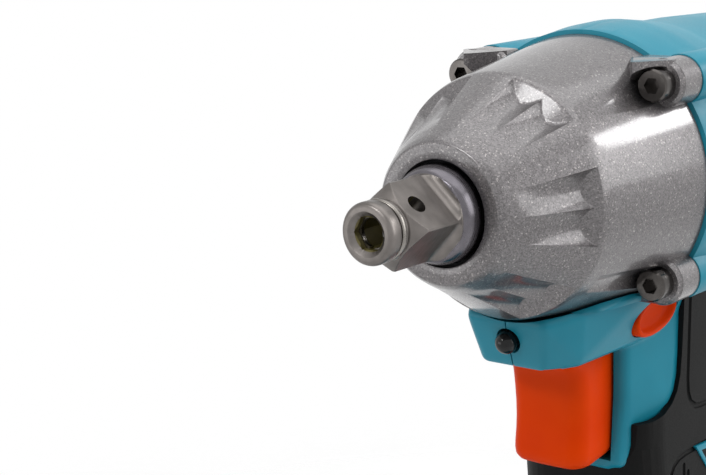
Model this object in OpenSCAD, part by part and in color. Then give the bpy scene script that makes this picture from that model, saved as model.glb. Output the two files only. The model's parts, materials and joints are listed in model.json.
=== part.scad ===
// Compact cordless impact wrench: square drive with a hex socket, hammer mechanism,
// planetary gear, brushless motor, pistol-grip clamshell and slide-on battery pack.
// Frame: origin in the middle of the battery's base, +Z up, the anvil points to -Y,
// +X is the tool's left side. Sizes in millimetres.

/* [Placement] */
// Height of the drive axis above the battery's base
axis_height = 205; // [200:1:225]
// Distance of the anvil's tip in front of the battery's middle
tip_reach = 95; // [90:1:100]

/* [Anvil] */
// Square drive across flats
square_af = 12.7; // [12.5:0.05:12.9]
// Bit socket across flats
hex_af = 6.35; // [6.3:0.01:6.5]
// Depth of the bit socket
socket_depth = 22; // [16:1:26]
// Radius of the round head in front of the square
head_r = 6.25; // [6:0.05:6.3]
// Length of the round head
head_len = 3.5; // [3.3:0.1:3.8]
// Radius at the bottom of the friction ring's groove
groove_r = 5.3; // [5.2:0.05:5.5]
// Width of the friction ring's groove
groove_w = 1.6; // [1.3:0.1:1.8]
// Where the square starts behind the tip
square_start = 5.7; // [5.6:0.1:6.2]
// Where the square ends behind the tip
square_end = 18.6; // [17:0.1:19.5]
// Radius of the rounded corners of the square
square_corner_r = 8.75; // [8.6:0.05:8.85]
// Radius of the anvil's round shaft
shaft_r = 9.5; // [9.3:0.1:9.7]
// Radius of the cross hole through the square
cross_hole_r = 2; // [1.5:0.1:2.1]
// Where the cross hole lies behind the tip
cross_hole_at = 10.4; // [10:0.1:12]
// Angle by which the square is turned from corner-up
anvil_turn = 2; // [0:1:10]
// Radius of the anvil's two ears
ear_r = 18.5; // [17:0.1:19]
// Width of an ear
ear_w = 13; // [11:0.5:14]
// Length of the ears along the axis
ear_len = 7; // [6:0.5:7.5]

/* [Hammer mechanism] */
// Outer radius of the hammer
hammer_r = 23; // [22:0.1:23.3]
// Length of the hammer without its lugs
hammer_len = 19; // [17:0.5:20]
// Length of the hammer's lugs
lug_len = 6; // [5:0.5:6.5]
// Travel of the hammer against its spring
hammer_travel = 8; // [7:0.5:8.5]
// Radius of the spindle's cam shaft
cam_r = 8; // [7.6:0.1:8.4]
// Radius of the hammer balls
ball_r = 2.75; // [2.5:0.05:3]
// Mean radius of the hammer spring
hammer_spring_r = 13.6; // [13.2:0.1:14]
// Wire radius of the hammer spring
hammer_wire_r = 1.5; // [1.2:0.1:1.7]

/* [Gears] */
// Gear module
gear_m = 0.9; // [0.88:0.01:0.91]
// Teeth of the sun pinion
sun_teeth = 12; // [12:6:12]
// Teeth of a planet gear
planet_teeth = 18; // [18:6:18]
// Face width of the planet gears
gear_w = 8; // [7:0.5:8.5]
// Radius of the planet pins
planet_pin_r = 2.5; // [2:0.1:3]
// Radius of the carrier's flanges
carrier_r = 19.5; // [19:0.1:20]
// Radius of the spindle's rear hub, held by its bearing
hub_r = 8.5; // [8.4:0.1:8.8]

/* [Hammer case] */
// Distance of the nose face behind the anvil's tip
nose_face = 23.4; // [22.8:0.1:24]
// Radius of the nose bore
nose_bore_r = 10.9; // [10.6:0.1:11.2]
// Outer radius of the nose
nose_r = 15.4; // [15:0.1:16]
// Distance of the ridge between cone and barrel behind the tip
ridge_at = 44.5; // [43.5:0.1:46]
// Radius of the ridge
ridge_r = 26.3; // [26:0.1:27]
// Distance of the case's rear edge behind the tip
case_rear = 78.2; // [78:0.1:79]
// Radius of the case's rear edge
case_rear_r = 31.1; // [30.6:0.1:31.4]
// Outer radius of the spigot that enters the housing
spigot_r = 28.6; // [28.4:0.1:29]
// Number of fluted pockets around the cone
pocket_count = 6; // [4:1:6]
// Radius of a flute
flute_r = 4.6; // [4:0.1:5]
// Sideways place of the case screws
ear_x = 24.1; // [23.6:0.1:24.6]
// Height of the upper case screws above the axis
ear_up = 22.2; // [21.6:0.1:22.8]
// Depth of the lower case screws below the axis
ear_down = 20.4; // [20:0.1:21]
// Radius of a screw ear
ear_boss_r = 5; // [4.8:0.1:5.4]

/* [Motor] */
// Outer radius of the stator
stator_r = 26.5; // [25:0.1:27]
// Length of the stator stack
stator_len = 26; // [24:0.5:27]
// Radius of the rotor
rotor_r = 12; // [11:0.1:12.5]
// Radius of the motor shaft
motor_shaft_r = 2.5; // [2:0.1:2.8]
// Radius of the fan
fan_r = 25; // [22:0.5:26]
// Number of fan blades
blade_count = 11; // [7:1:15]

/* [Housing] */
// Outer radius of the motor barrel
barrel_r = 32.8; // [32.4:0.1:33.4]
// Outer radius of the rear half of the motor barrel
barrel_rear_r = 31.3; // [30.8:0.1:31.8]
// Distance of the barrel's rear end behind the tip
barrel_end = 154; // [153:0.5:158]
// Height of the tool's foot over the battery
foot_h = 27; // [25:0.5:30]
// Wall of the housing
wall = 3; // [2.6:0.1:3.2]
// Half width of the handle
handle_half_w = 16.5; // [16:0.1:17.5]
// Depth of the handle from front to back
handle_depth = 44; // [43:0.5:46]
// Length that the grip leans back over its height
grip_lean = 6; // [4:0.5:8]
// Thickness of the soft grip
grip_skin = 1.4; // [1:0.1:1.8]
// Distance of the handle's front behind the anvil's tip
handle_front = 75.5; // [75:0.1:76.5]

/* [Trigger and switch] */
// Width of the trigger
trigger_w = 20; // [18:0.5:21]
// Travel of the trigger
trigger_travel = 7; // [5:0.5:7.5]
// Travel of the direction button to either side
selector_travel = 3.5; // [3:0.1:4]
// Length of the direction button
selector_len = 17; // [15:0.5:18]
// Height of the direction button
selector_h = 8.6; // [8:0.1:9]

/* [Battery] */
// Width of the battery pack
battery_w = 75; // [74:0.5:80]
// Length of the battery pack
battery_l = 114; // [112:1:120]
// Height of the battery pack below the tool's foot
battery_h = 60; // [56:1:62]
// Radius of a cell
cell_r = 9.2; // [9:0.05:9.2]
// Room between a cell's end and the pack's side wall
cell_end_room = 2; // [1.5:0.5:2.5]
// Half width of the rails on top of the pack
rail_half_w = 27; // [26:0.5:29]
// Travel of the release latch
latch_travel = 3; // [2:0.5:3.5]

/* [Fits] */
// Radial clearance of running fits
run_gap = 0.05; // [0.02:0.01:0.08]
// Clearance of seated pieces
seat_gap = 0.05; // [0.02:0.01:0.1]
// Clearance around sliding and moving pieces
free_gap = 0.4; // [0.3:0.05:0.5]

/* [Hidden] */
$fn = 64;
eps = 0.01;
far = 200;

// Stations along the drive axis, counted from the anvil's tip
seal_at = nose_face + 2.6;
seal_len = 2.5;
bushing_at = seal_at + seal_len + 0.5;
washer_t = 1;
washer_at = 40;
bushing_r = shaft_r + 3;
anvil_ears_at = washer_at + washer_t + 0.1;
anvil_rear = anvil_ears_at + ear_len;
pilot_r = 4;
pilot_len = 8;
hammer_at = anvil_rear + 1;
hammer_rear = hammer_at + hammer_len;
flange_t = 2.7;
flange_at = hammer_rear + hammer_travel + 1 + free_gap;
gear_at = flange_at + flange_t + 0.3;
gear_end = gear_at + gear_w;
rear_flange_t = 2;
hub_at = gear_end + 0.2 + rear_flange_t;
ring_end = max(hub_at - 0.8, case_rear + 10);
bearing_at = hub_at + 0.6;
bearing_w = 5;
bearing_r = 13;
plate_end = bearing_at + bearing_w + 1.2;
motor_bearing_at = plate_end;
motor_bearing_w = 4;
motor_bearing_r = 6.5;
board_at = motor_bearing_at + motor_bearing_w + 1;
board_t = 1.6;
stator_at = board_at + 5;
stator_end = stator_at + stator_len;
coil_over = 3;
fan_at = stator_end + coil_over + 0.7;
fan_len = 6;
rear_bearing_at = barrel_end - wall - 6.2;
rear_bearing_w = 5;
rear_bearing_r = 8;

// Gear sizes
ring_teeth = sun_teeth + 2 * planet_teeth;
planet_orbit = gear_m * (sun_teeth + planet_teeth) / 2;
pressure_angle = 25;
tooth_backlash = 0.06;
ring_r = 26.55;

// Ball grooves
ball_orbit = cam_r + 0.7;
ball_at = hammer_at + 7.5;
spring_pocket_at = hammer_at + 11.5;

// Case screws
screw_head_r = 3.5;
screw_head_len = 4;
screw_r = 2;
screw_seat = case_rear - 8.4;
screw_len = 24;
ear_places = [[ear_x, ear_up], [-ear_x, ear_up], [ear_x, -ear_down], [-ear_x, -ear_down]];

// Handle stations: height over the base
foot_top = battery_h + foot_h;
grip_top = axis_height - 62;
block_top = axis_height - 24;
trigger_h = 24.4;
trigger_high = axis_height - 39.6;
trigger_low = trigger_high - trigger_h;
trigger_front = handle_front - 17.9;
trigger_rear = handle_front + 2.5;
trigger_spring_r = 4.2;
trigger_wire_r = 0.5;
slot_half_w = trigger_w / 2 + free_gap;
switch_at = handle_front + 19.5;
switch_len = 17;
selector_at = handle_front + 7.5;
selector_flush = 2.4;
selector_down = 32.2;
bar_half_h = 1.8;
bar_half_l = 4;
bar_down = 34.5;
lever_pivot_at = switch_at + 1.5;
lever_reach = 12;
lever_pin_r = 1.5;
lever_t = 1.6;
lever_pin_h = 5.4;
dish_r = 10;
dish_depth = 1;

// Battery and foot
corner_r = 9;
rail_top = battery_h + 10;
rail_low = battery_h + 4.6;
neck_half_w = rail_half_w - 5;
rail_front = -battery_l / 2 + 7;
rail_rear = battery_l / 2 - 13;
foot_gap = 0.4;
foot_rear = battery_l / 2 - 2;
cell_len = battery_w - 2 * (wall + cell_end_room);
cell_pitch = 2 * cell_r + 0.4;
cell_low = wall + cell_r + 0.3;
post_r = 3.4;
shell_split = cell_low + cell_pitch + cell_r + 1.5;
slot_places = [-15, 0, 15];
slot_w = 4;
slot_len = 17;
blade_len = 12;
latch_half_w = 9;
latch_at = rail_front + 2;
latch_depth = 6;
latch_low = shell_split + 8;
tab_h = 6;
blade_rear = rail_rear - 3;
clip_len = 6;
chin_tilt = 22;
case_gap = 0.5;
led_at = [0, 46.6 - tip_reach, axis_height - 32.3];
led_r = 2.5;
plunger_down = 52;
plunger_r = 3;
motor_lead_at = handle_front + 38.4;

// Places of the clamshell screws: [distance behind the tip, height over the base, half length]
boss_half = handle_half_w - 3.5;
screw_sink = 3;
screw_places = [[58, axis_height - 35.4, 9],
    [handle_front + handle_depth + 1.5, axis_height - 38, boss_half],
    [handle_front + 10.5, axis_height - 72, boss_half],
    [handle_front + grip_lean + 7, foot_top + 19, boss_half],
    [tip_reach - battery_l / 2 + 16, foot_top - 8, 20],
    [tip_reach + battery_l / 2 - 10, foot_top - 8, 20]];

// Puts children drawn along +Z from the anvil's tip onto the drive axis
module on_axis(at = 0) {
    translate([0, at - tip_reach, axis_height]) rotate([-90, 0, 0]) children();
}

module ring(outer, inner, len) {
    difference() {
        cylinder(r = outer, h = len);
        translate([0, 0, -1]) cylinder(r = inner, h = len + 2);
    }
}

// Cylinder along X
module across(r, len) {
    rotate([0, 90, 0]) cylinder(r = r, h = len, center = true);
}

// Box from its low corner to its high corner
module span(low, high) {
    translate(low) cube(high - low);
}

module rounded_rect(w, l, r) {
    square([w - 2 * r, l], center = true);
    square([w, l - 2 * r], center = true);
    for (x = [-1, 1], y = [-1, 1]) {
        translate([x * (w / 2 - r), y * (l / 2 - r)]) circle(r = r);
    }
}

// Helical spring along +Z
module coil(coil_r, wire_r, turns, len) {
    steps = ceil(turns * 16);
    sides = 8;
    points = [for (i = [0:steps], k = [0:sides - 1])
        let (turn = 360 * turns * i / steps, round = 360 * k / sides)
        [(coil_r + wire_r * cos(round)) * cos(turn), (coil_r + wire_r * cos(round)) * sin(turn),
            wire_r + (len - 2 * wire_r) * i / steps + wire_r * sin(round)]];
    sides_faces = [for (i = [0:steps - 1], k = [0:sides - 1])
        let (next = (k + 1) % sides)
        [i * sides + k, i * sides + next, (i + 1) * sides + next, (i + 1) * sides + k]];
    start_cap = [for (k = [sides - 1:-1:0]) k];
    end_cap = [for (k = [0:sides - 1]) steps * sides + k];
    polyhedron(points, concat(sides_faces, [start_cap, end_cap]));
}

// Involute gear outline
function inv_deg(a) = tan(a) * 180 / PI - a;
function half_tooth(r, teeth, thicker) =
    let (pitch = gear_m * teeth / 2, base = pitch * cos(pressure_angle),
        a = r > base ? acos(base / r) : 0)
    90 / teeth + inv_deg(pressure_angle) - inv_deg(a) + thicker / pitch * 180 / PI;
function polar(r, a) = [r * cos(a), r * sin(a)];
module gear_outline(teeth, root, tip, thicker) {
    levels = [for (i = [0:3]) root + (tip - root) * i / 3];
    points = [for (t = [0:teeth - 1], side = [-1, 1], i = [0:3])
        let (r = levels[side < 0 ? i : 3 - i])
        polar(r, 360 * t / teeth + side * half_tooth(r, teeth, thicker))];
    polygon(points);
}
module outer_gear(teeth, len) {
    pitch = gear_m * teeth / 2;
    linear_extrude(len) gear_outline(teeth, pitch - 1.2 * gear_m, pitch + gear_m, -tooth_backlash);
}
module planet_place(i) {
    angle = 360 * (i - 1) / 3;
    rotate([0, 0, angle]) translate([planet_orbit, 0, gear_at]) rotate([0, 0, -angle])
        rotate([0, 0, 180 - 180 / planet_teeth + angle * (1 + sun_teeth / planet_teeth)])
            children();
}

// Drive end ---------------------------------------------------------------
module anvil_square() {
    intersection() {
        rotate([0, 0, 45 - anvil_turn])
            translate([-square_af / 2, -square_af / 2, square_start])
                cube([square_af, square_af, square_end - square_start]);
        rotate_extrude() polygon([[0, square_start], [square_af / 2 - 0.1, square_start],
            [square_corner_r, square_start + 2.4], [square_corner_r, square_end],
            [0, square_end]]);
    }
}
module anvil_round() {
    groove_at = head_len;
    rotate_extrude() polygon([[0, 0], [head_r - 0.9, 0], [head_r, 0.9], [head_r, head_len - 0.1],
        [groove_r, groove_at], [groove_r, groove_at + groove_w], [head_r - 0.2, groove_at + groove_w],
        [head_r - 0.1, square_start + 0.6], [0, square_start + 0.6]]);
    rotate_extrude() polygon([[0, square_end - 0.3], [square_corner_r - 0.3, square_end - 0.3],
        [square_corner_r + 0.4, square_end + 0.4], [shaft_r, square_end + 1.6],
        [shaft_r, anvil_rear - 1], [0, anvil_rear - 1]]);
}
module anvil_ears() {
    translate([0, 0, anvil_ears_at]) {
        cylinder(r = shaft_r + 1.5, h = ear_len);
        intersection() {
            cylinder(r = ear_r, h = ear_len);
            translate([-ear_r, -ear_w / 2, 0]) cube([2 * ear_r, ear_w, ear_len]);
        }
    }
}
module anvil() {
    color([0.62, 0.60, 0.58]) on_axis() difference() {
        union() {
            anvil_round();
            anvil_square();
            anvil_ears();
        }
        translate([0, 0, -1]) cylinder(r = hex_af / sqrt(3), h = socket_depth + 1, $fn = 6);
        translate([0, 0, -eps]) cylinder(r1 = hex_af / 2 + 1.2, r2 = hex_af / 2 - 0.3, h = 1.5);
        translate([0, 0, 2.4]) cylinder(r = hex_af / 2 + 1.1, h = 1.2);
        translate([0, 0, anvil_rear - pilot_len - 1])
            cylinder(r = pilot_r + run_gap, h = pilot_len + 2);
        rotate([0, 0, -45 - anvil_turn]) translate([0, 0, cross_hole_at]) rotate([0, 90, 0])
            cylinder(r = cross_hole_r, h = 3 * square_af, center = true);
    }
}
module split_ring(outer, inner, len, split, turn) {
    difference() {
        ring(outer, inner, len);
        rotate([0, 0, turn]) translate([0, -split / 2, -1]) cube([outer + 1, split, len + 2]);
    }
}
module friction_ring() {
    color([0.45, 0.43, 0.42]) on_axis(head_len + 0.15)
        split_ring(head_r + 0.1, groove_r + seat_gap, groove_w - 0.3, 2, -60);
}
module bit_ring() {
    color([0.5, 0.5, 0.5]) on_axis(2.5)
        split_ring(hex_af / 2 + 1, hex_af / 2 - 0.12, 0.9, 1.2, 100);
}
module nose_seal() {
    color([0.12, 0.12, 0.12]) on_axis(seal_at)
        ring(bushing_r - seat_gap, shaft_r + run_gap, seal_len);
}
module nose_bushing() {
    color([0.66, 0.5, 0.28]) on_axis(bushing_at)
        ring(bushing_r - seat_gap, shaft_r + run_gap, washer_at - bushing_at - 0.1);
}
module thrust_washer() {
    color([0.7, 0.7, 0.72]) on_axis(washer_at + run_gap)
        ring(ear_r - 1.5, shaft_r + run_gap, washer_t - run_gap);
}

// Hammer mechanism ----------------------------------------------------------
module hammer() {
    color([0.4, 0.4, 0.42]) on_axis() difference() {
        union() {
            translate([0, 0, hammer_at]) cylinder(r = hammer_r, h = hammer_len);
            intersection() {
                translate([0, 0, hammer_at - lug_len])
                    ring(ear_r + 1, shaft_r + 2.2, lug_len + 1);
                translate([-ear_w / 2, -2 * ear_r, hammer_at - lug_len])
                    cube([ear_w, 4 * ear_r, lug_len + 1]);
            }
        }
        translate([0, 0, hammer_at - lug_len - 1])
            cylinder(r = cam_r + run_gap, h = far);
        translate([0, 0, spring_pocket_at]) ring(hammer_spring_r + hammer_wire_r + free_gap,
            hammer_spring_r - hammer_wire_r - free_gap, hammer_len);
        for (side = [-1, 1]) translate([side * ball_orbit, 0, ball_at - hammer_travel - ball_r])
            cylinder(r = ball_r + run_gap, h = hammer_travel + ball_r);
        for (side = [-1, 1]) translate([side * ball_orbit, 0, ball_at])
            sphere(r = ball_r + run_gap);
    }
}
module hammer_balls() {
    color([0.8, 0.8, 0.82]) on_axis() for (side = [-1, 1])
        translate([side * ball_orbit, 0, ball_at]) sphere(r = ball_r);
}
module hammer_spring() {
    color([0.35, 0.35, 0.38]) on_axis(spring_pocket_at + free_gap)
        coil(hammer_spring_r, hammer_wire_r, 5,
            flange_at - 1 - free_gap - spring_pocket_at - free_gap);
}
module spring_washer() {
    color([0.7, 0.7, 0.72]) on_axis(flange_at - 1 - seat_gap)
        ring(hammer_spring_r + hammer_wire_r + 0.5, cam_r + run_gap, 1);
}
module cam_groove() {
    for (turn = [0, 180], lean = [-1, 1]) rotate([0, 0, turn])
        translate([ball_orbit, 0, ball_at]) rotate([lean * 32, 0, 0])
            cylinder(r = ball_r + run_gap, h = 10);
    for (turn = [0, 180]) rotate([0, 0, turn]) translate([ball_orbit, 0, ball_at])
        sphere(r = ball_r + run_gap);
}
module spindle() {
    color([0.5, 0.5, 0.53]) on_axis() difference() {
        union() {
            translate([0, 0, anvil_rear - pilot_len])
                cylinder(r = pilot_r, h = pilot_len + 2);
            translate([0, 0, anvil_rear + 0.4]) cylinder(r = cam_r, h = flange_at - anvil_rear);
            translate([0, 0, flange_at]) cylinder(r = carrier_r, h = flange_t);
            translate([0, 0, gear_end + 0.2]) cylinder(r = carrier_r, h = rear_flange_t);
            translate([0, 0, hub_at - 1])
                cylinder(r = hub_r, h = bearing_at + bearing_w - hub_at + 1);
            for (i = [0:2]) rotate([0, 0, 60 + 120 * i]) translate([planet_orbit + 1, 0, flange_at])
                cylinder(r = 3, h = hub_at - flange_at);
        }
        cam_groove();
        translate([0, 0, flange_at + flange_t - 1]) cylinder(r = hub_r - 1.7, h = far);
        for (i = [1:3]) planet_place(i) translate([0, 0, -flange_t - 1])
            cylinder(r = planet_pin_r + seat_gap, h = gear_w + 8);
    }
}
module planet_pins() {
    color([0.75, 0.75, 0.77]) on_axis() for (i = [1:3]) planet_place(i)
        translate([0, 0, -flange_t]) cylinder(r = planet_pin_r, h = gear_w + flange_t + 2);
}
module planet_gear(i) {
    color([0.6, 0.6, 0.62]) on_axis() planet_place(i) difference() {
        outer_gear(planet_teeth, gear_w);
        translate([0, 0, -1]) cylinder(r = planet_pin_r + run_gap, h = gear_w + 2);
    }
}
module ring_gear() {
    pitch = gear_m * ring_teeth / 2;
    color([0.55, 0.55, 0.57]) on_axis(gear_at - 0.8) difference() {
        cylinder(r = ring_r, h = ring_end - gear_at + 0.8);
        translate([0, 0, -1]) linear_extrude(far)
            rotate([0, 0, planet_teeth % 2 == 0 ? 180 / ring_teeth : 0])
                gear_outline(ring_teeth, pitch - gear_m, pitch + 1.2 * gear_m, tooth_backlash);
    }
}
module gearbox_plate() {
    color([0.2, 0.2, 0.22]) on_axis() difference() {
        union() {
            translate([0, 0, ring_end + seat_gap])
                cylinder(r = spigot_r - 0.1, h = plate_end - ring_end);
            translate([0, 0, plate_end - 1])
                cylinder(r = motor_bearing_r + 3, h = motor_bearing_w + 1);
        }
        translate([0, 0, ring_end - 1]) cylinder(r = carrier_r + 1, h = bearing_at - ring_end + 1);
        translate([0, 0, bearing_at - 1])
            cylinder(r = bearing_r + seat_gap, h = bearing_w + 1 + seat_gap);
        translate([0, 0, plate_end])
            cylinder(r = motor_bearing_r + seat_gap, h = motor_bearing_w + 1);
        cylinder(r = motor_bearing_r - 1, h = far);
    }
}
module spindle_bearing() {
    color([0.72, 0.72, 0.74]) on_axis(bearing_at)
        ring(bearing_r, hub_r + run_gap, bearing_w);
}

// Motor ---------------------------------------------------------------------
module motor_pinion() {
    color([0.6, 0.6, 0.62]) on_axis(gear_at + 0.6) difference() {
        outer_gear(sun_teeth, gear_w + 5);
        translate([0, 0, -1]) cylinder(r = motor_shaft_r + seat_gap, h = gear_w + 8);
    }
}
module motor_shaft() {
    color([0.75, 0.75, 0.77]) on_axis(gear_at + 0.4)
        cylinder(r = motor_shaft_r, h = rear_bearing_at + rear_bearing_w - gear_at - 0.6);
}
module front_motor_bearing() {
    color([0.72, 0.72, 0.74]) on_axis(motor_bearing_at + seat_gap)
        ring(motor_bearing_r, motor_shaft_r + run_gap, motor_bearing_w - seat_gap);
}
module rear_motor_bearing() {
    color([0.72, 0.72, 0.74]) on_axis(rear_bearing_at)
        ring(rear_bearing_r, motor_shaft_r + run_gap, rear_bearing_w);
}
module rotor() {
    color([0.45, 0.45, 0.48]) on_axis(stator_at)
        ring(rotor_r, motor_shaft_r + seat_gap, stator_len);
}
module stator() {
    bore = rotor_r + 0.5;
    color([0.5, 0.5, 0.52]) on_axis(stator_at) linear_extrude(stator_len) difference() {
        union() {
            difference() {
                circle(r = stator_r);
                circle(r = stator_r - 4);
            }
            for (i = [0:5]) rotate(60 * i) translate([bore - 1, -2.5]) square([stator_r - bore, 5]);
            for (i = [0:5]) rotate(60 * i) intersection() {
                difference() {
                    circle(r = bore + 2);
                    circle(r = bore);
                }
                translate([0, -bore * 0.42]) square([bore + 3, bore * 0.84]);
            }
        }
        circle(r = bore);
    }
}
module stator_coils() {
    inner = rotor_r + 3.2;
    outer = stator_r - 5.1;
    color([0.75, 0.4, 0.15]) on_axis() for (i = [0:5]) rotate([0, 0, 60 * i]) difference() {
        span([inner, -4.6, stator_at - coil_over], [outer, 4.6, stator_end + coil_over]);
        span([inner - 1, -2.9, stator_at - 0.4], [outer + 1, 2.9, stator_end + 0.4]);
    }
}
module frame_ring(len) {
    ring(stator_r - 0.5, stator_r - 4.5, len - seat_gap);
}
module stator_frames() {
    front_len = stator_at - board_at - board_t;
    color([0.15, 0.15, 0.15]) on_axis() {
        translate([0, 0, stator_at - front_len]) frame_ring(front_len);
        translate([0, 0, stator_end]) frame_ring(coil_over);
    }
}
module motor_board() {
    color([0.1, 0.35, 0.2]) on_axis(board_at - 0.4)
        ring(stator_r - 1, motor_bearing_r + 4, board_t);
}
module fan() {
    color([0.15, 0.15, 0.16]) on_axis(fan_at) {
        ring(7, motor_shaft_r + seat_gap, fan_len);
        ring(fan_r, 6.5, 1.5);
        for (i = [0:blade_count - 1]) rotate([0, 0, 360 * i / blade_count])
            translate([6.5, 0, 1]) rotate([0, 0, 18]) cube([fan_r - 8, 1.2, fan_len - 1]);
    }
}

// Hammer case -----------------------------------------------------------------
module case_outside(grow) {
    rotate_extrude() polygon([[0, nose_face - grow], [nose_r - 1.4, nose_face - grow],
        [nose_r + grow, nose_face + 1], [ridge_r + grow, ridge_at], [case_rear_r + grow, case_rear],
        [0, case_rear]]);
}
module case_inside() {
    rotate_extrude() polygon([[0, washer_at], [ear_r + 0.9, washer_at],
        [hammer_r + 0.9, ridge_at + 1.5], [ring_r + seat_gap, gear_at - 1.2],
        [ring_r + seat_gap, far], [0, far]]);
}
module flutes() {
    for (i = [0:pocket_count - 1], side = [-1, 1])
        rotate([0, 0, 360 * i / pocket_count + side * 9.5])
            translate([nose_r + 6.8, 0, nose_face + 3]) rotate([0, 17.5, 0])
                cylinder(r = flute_r, h = ridge_at - 2.4 - nose_face - 3);
}
module at_ears(z) {
    for (p = ear_places) translate([p[0], -p[1], z]) children();
}
module hammer_case() {
    color([0.6, 0.6, 0.6]) on_axis() difference() {
        union() {
            case_outside(0);
            at_ears(screw_seat) cylinder(r = ear_boss_r, h = case_rear - screw_seat);
            translate([0, 0, case_rear - 1]) cylinder(r = spigot_r, h = ring_end - case_rear + 1);
        }
        case_inside();
        translate([0, 0, nose_face - 1]) cylinder(r = nose_bore_r, h = 10);
        translate([0, 0, seal_at - seat_gap]) cylinder(r = bushing_r, h = far);
        flutes();
        at_ears(screw_seat - 15) cylinder(r = screw_head_r + 0.9, h = 15);
        at_ears(0) cylinder(r = screw_r + 0.3, h = far);
    }
}
module socket_screw(head_r, head_len, shank_r, shank_len, hex) {
    difference() {
        translate([0, 0, -head_len]) cylinder(r = head_r, h = head_len);
        translate([0, 0, -head_len - 1]) cylinder(r = hex / sqrt(3), h = head_len - 0.5, $fn = 6);
    }
    cylinder(r = shank_r, h = shank_len);
}
module case_screws() {
    color([0.2, 0.2, 0.21]) on_axis() at_ears(screw_seat)
        socket_screw(screw_head_r, screw_head_len, screw_r, screw_len, 3);
}

// Housing -------------------------------------------------------------------------
module barrel_form() {
    on_axis() {
        rotate_extrude() polygon([[0, case_rear], [barrel_r - 0.8, case_rear],
            [barrel_r, case_rear + 8], [barrel_r + 0.2, case_rear + 16],
            [barrel_r - 0.8, case_rear + 25], [barrel_rear_r, case_rear + 30],
            [barrel_rear_r, case_rear + 44], [barrel_rear_r - 0.6, barrel_end - 10],
            [barrel_rear_r - 4, barrel_end - 3], [barrel_rear_r - 8, barrel_end], [0, barrel_end]]);
        at_ears(case_rear + seat_gap) cylinder(r = ear_boss_r + 0.5, h = 22);
    }
}
module chin_form() {
    hull() for (side = [-1, 1]) translate([0, -tip_reach, axis_height]) {
        for (p = [[8, 48, -29], [7.5, 52.3, -37.4], [15.5, 58, -26], [13, 61, -38.4],
                [20, 84, -20], [13.5, 84, -37]])
            translate([side * p[0], p[1], p[2]]) sphere(r = 2.5, $fn = 20);
    }
}
// Slice of the handle: an upright oval rounded box
module handle_slice(half_w, front, back, z, grow) {
    for (side = [-1, 1]) translate([0, -tip_reach, z]) {
        translate([side * (half_w - 9), front + 9, 0])
            cylinder(r = 9 + grow, h = 1, $fn = 32);
        translate([side * (half_w - 13), back - 13, 0])
            cylinder(r = 13 + grow, h = 1, $fn = 32);
    }
}
module block_form(grow) {
    hull() {
        handle_slice(handle_half_w + 1, handle_front - 2, handle_front + handle_depth + 12,
            block_top, grow);
        handle_slice(handle_half_w, handle_front, handle_front + handle_depth, grip_top, grow);
    }
}
module grip_form(grow) {
    hull() {
        handle_slice(handle_half_w, handle_front, handle_front + handle_depth, grip_top, grow);
        handle_slice(handle_half_w + 1, handle_front + grip_lean,
            handle_front + handle_depth + grip_lean, foot_top + 6, grow);
    }
}
module foot_form() {
    hull() {
        translate([0, -tip_reach, 0]) handle_slice(handle_half_w + 2, handle_front + grip_lean
            - 2 + tip_reach, handle_front + handle_depth + grip_lean + 2 + tip_reach,
            foot_top + 8, 0);
        for (z = [battery_h + foot_gap, foot_top - 5]) translate([0, 0, z]) linear_extrude(1)
            rounded_rect(battery_w - (z > foot_top - 6 ? 3 : 0), battery_l, corner_r);
    }
}
module housing_form() {
    barrel_form();
    chin_form();
    block_form(0);
    grip_form(0);
    foot_form();
}
module handle_room() {
    low_front = handle_front + grip_lean + 6;
    low_back = handle_front + handle_depth + grip_lean - 5;
    half = handle_half_w - wall - 2;
    translate([0, -tip_reach, 0]) rotate([90, 0, 90]) translate([0, 0, -half])
        linear_extrude(2 * half) polygon([[handle_front + 3, axis_height - 39],
            [handle_front + 4, grip_top - 4], [low_front, foot_top - 8],
            [low_back, foot_top - 8], [handle_front + handle_depth - 4, grip_top],
            [handle_front + handle_depth - 2, axis_height - 32.5],
            [handle_front + 3, axis_height - 32.5]]);
}
module barrel_room() {
    on_axis() {
        translate([0, 0, case_rear - 1])
            cylinder(r = spigot_r + seat_gap, h = plate_end - case_rear + 1.5);
        translate([0, 0, plate_end])
            cylinder(r = barrel_rear_r - wall, h = fan_at + fan_len + 0.5 - plate_end);
        translate([0, 0, rear_bearing_at - 3])
            cylinder(r = rear_bearing_r + seat_gap, h = rear_bearing_w + 3.2);
        at_ears(case_rear - 1) cylinder(r = screw_r + 0.1, h = screw_len - 6);
    }
}
module stator_ribs() {
    on_axis() for (z = [stator_at + 3, stator_end - 6]) translate([0, 0, z])
        ring(barrel_rear_r - wall + 0.5, stator_r + seat_gap, 3);
}
module foot_room() {
    half = battery_w / 2 - wall - 2;
    span([-half, -battery_l / 2 + 8, rail_top + 3], [half, foot_rear - 8, foot_top - 7]);
}
// Channel that takes the battery's rails, open to the front
module rail_channel() {
    span([-rail_half_w - free_gap, -far, rail_low - free_gap],
        [rail_half_w + free_gap, rail_rear + free_gap, rail_top + free_gap]);
    span([-neck_half_w - free_gap, -far, 0],
        [neck_half_w + free_gap, rail_rear + free_gap, rail_low]);
    span([-latch_half_w - free_gap, -far, rail_top],
        [latch_half_w + free_gap, latch_at + latch_depth + free_gap, rail_top + 3]);
}
module trigger_slot() {
    span([-slot_half_w, 40 - tip_reach, trigger_low - free_gap],
        [slot_half_w, switch_at - tip_reach, trigger_high + free_gap]);
}
module vents() {
    for (i = [0:4], side = [-1, 1]) on_axis(fan_at - 2)
        rotate([0, 0, side * (90 - 68 + 11 * i) + (side < 0 ? 180 : 0)])
            translate([barrel_rear_r - wall - 3, -1.2, 0]) cube([10, 2.4, 10]);
}
module screw_bosses() {
    for (p = screw_places) translate([0, p[0] - tip_reach, p[1]]) across(3.6, 2 * p[2]);
}
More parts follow.
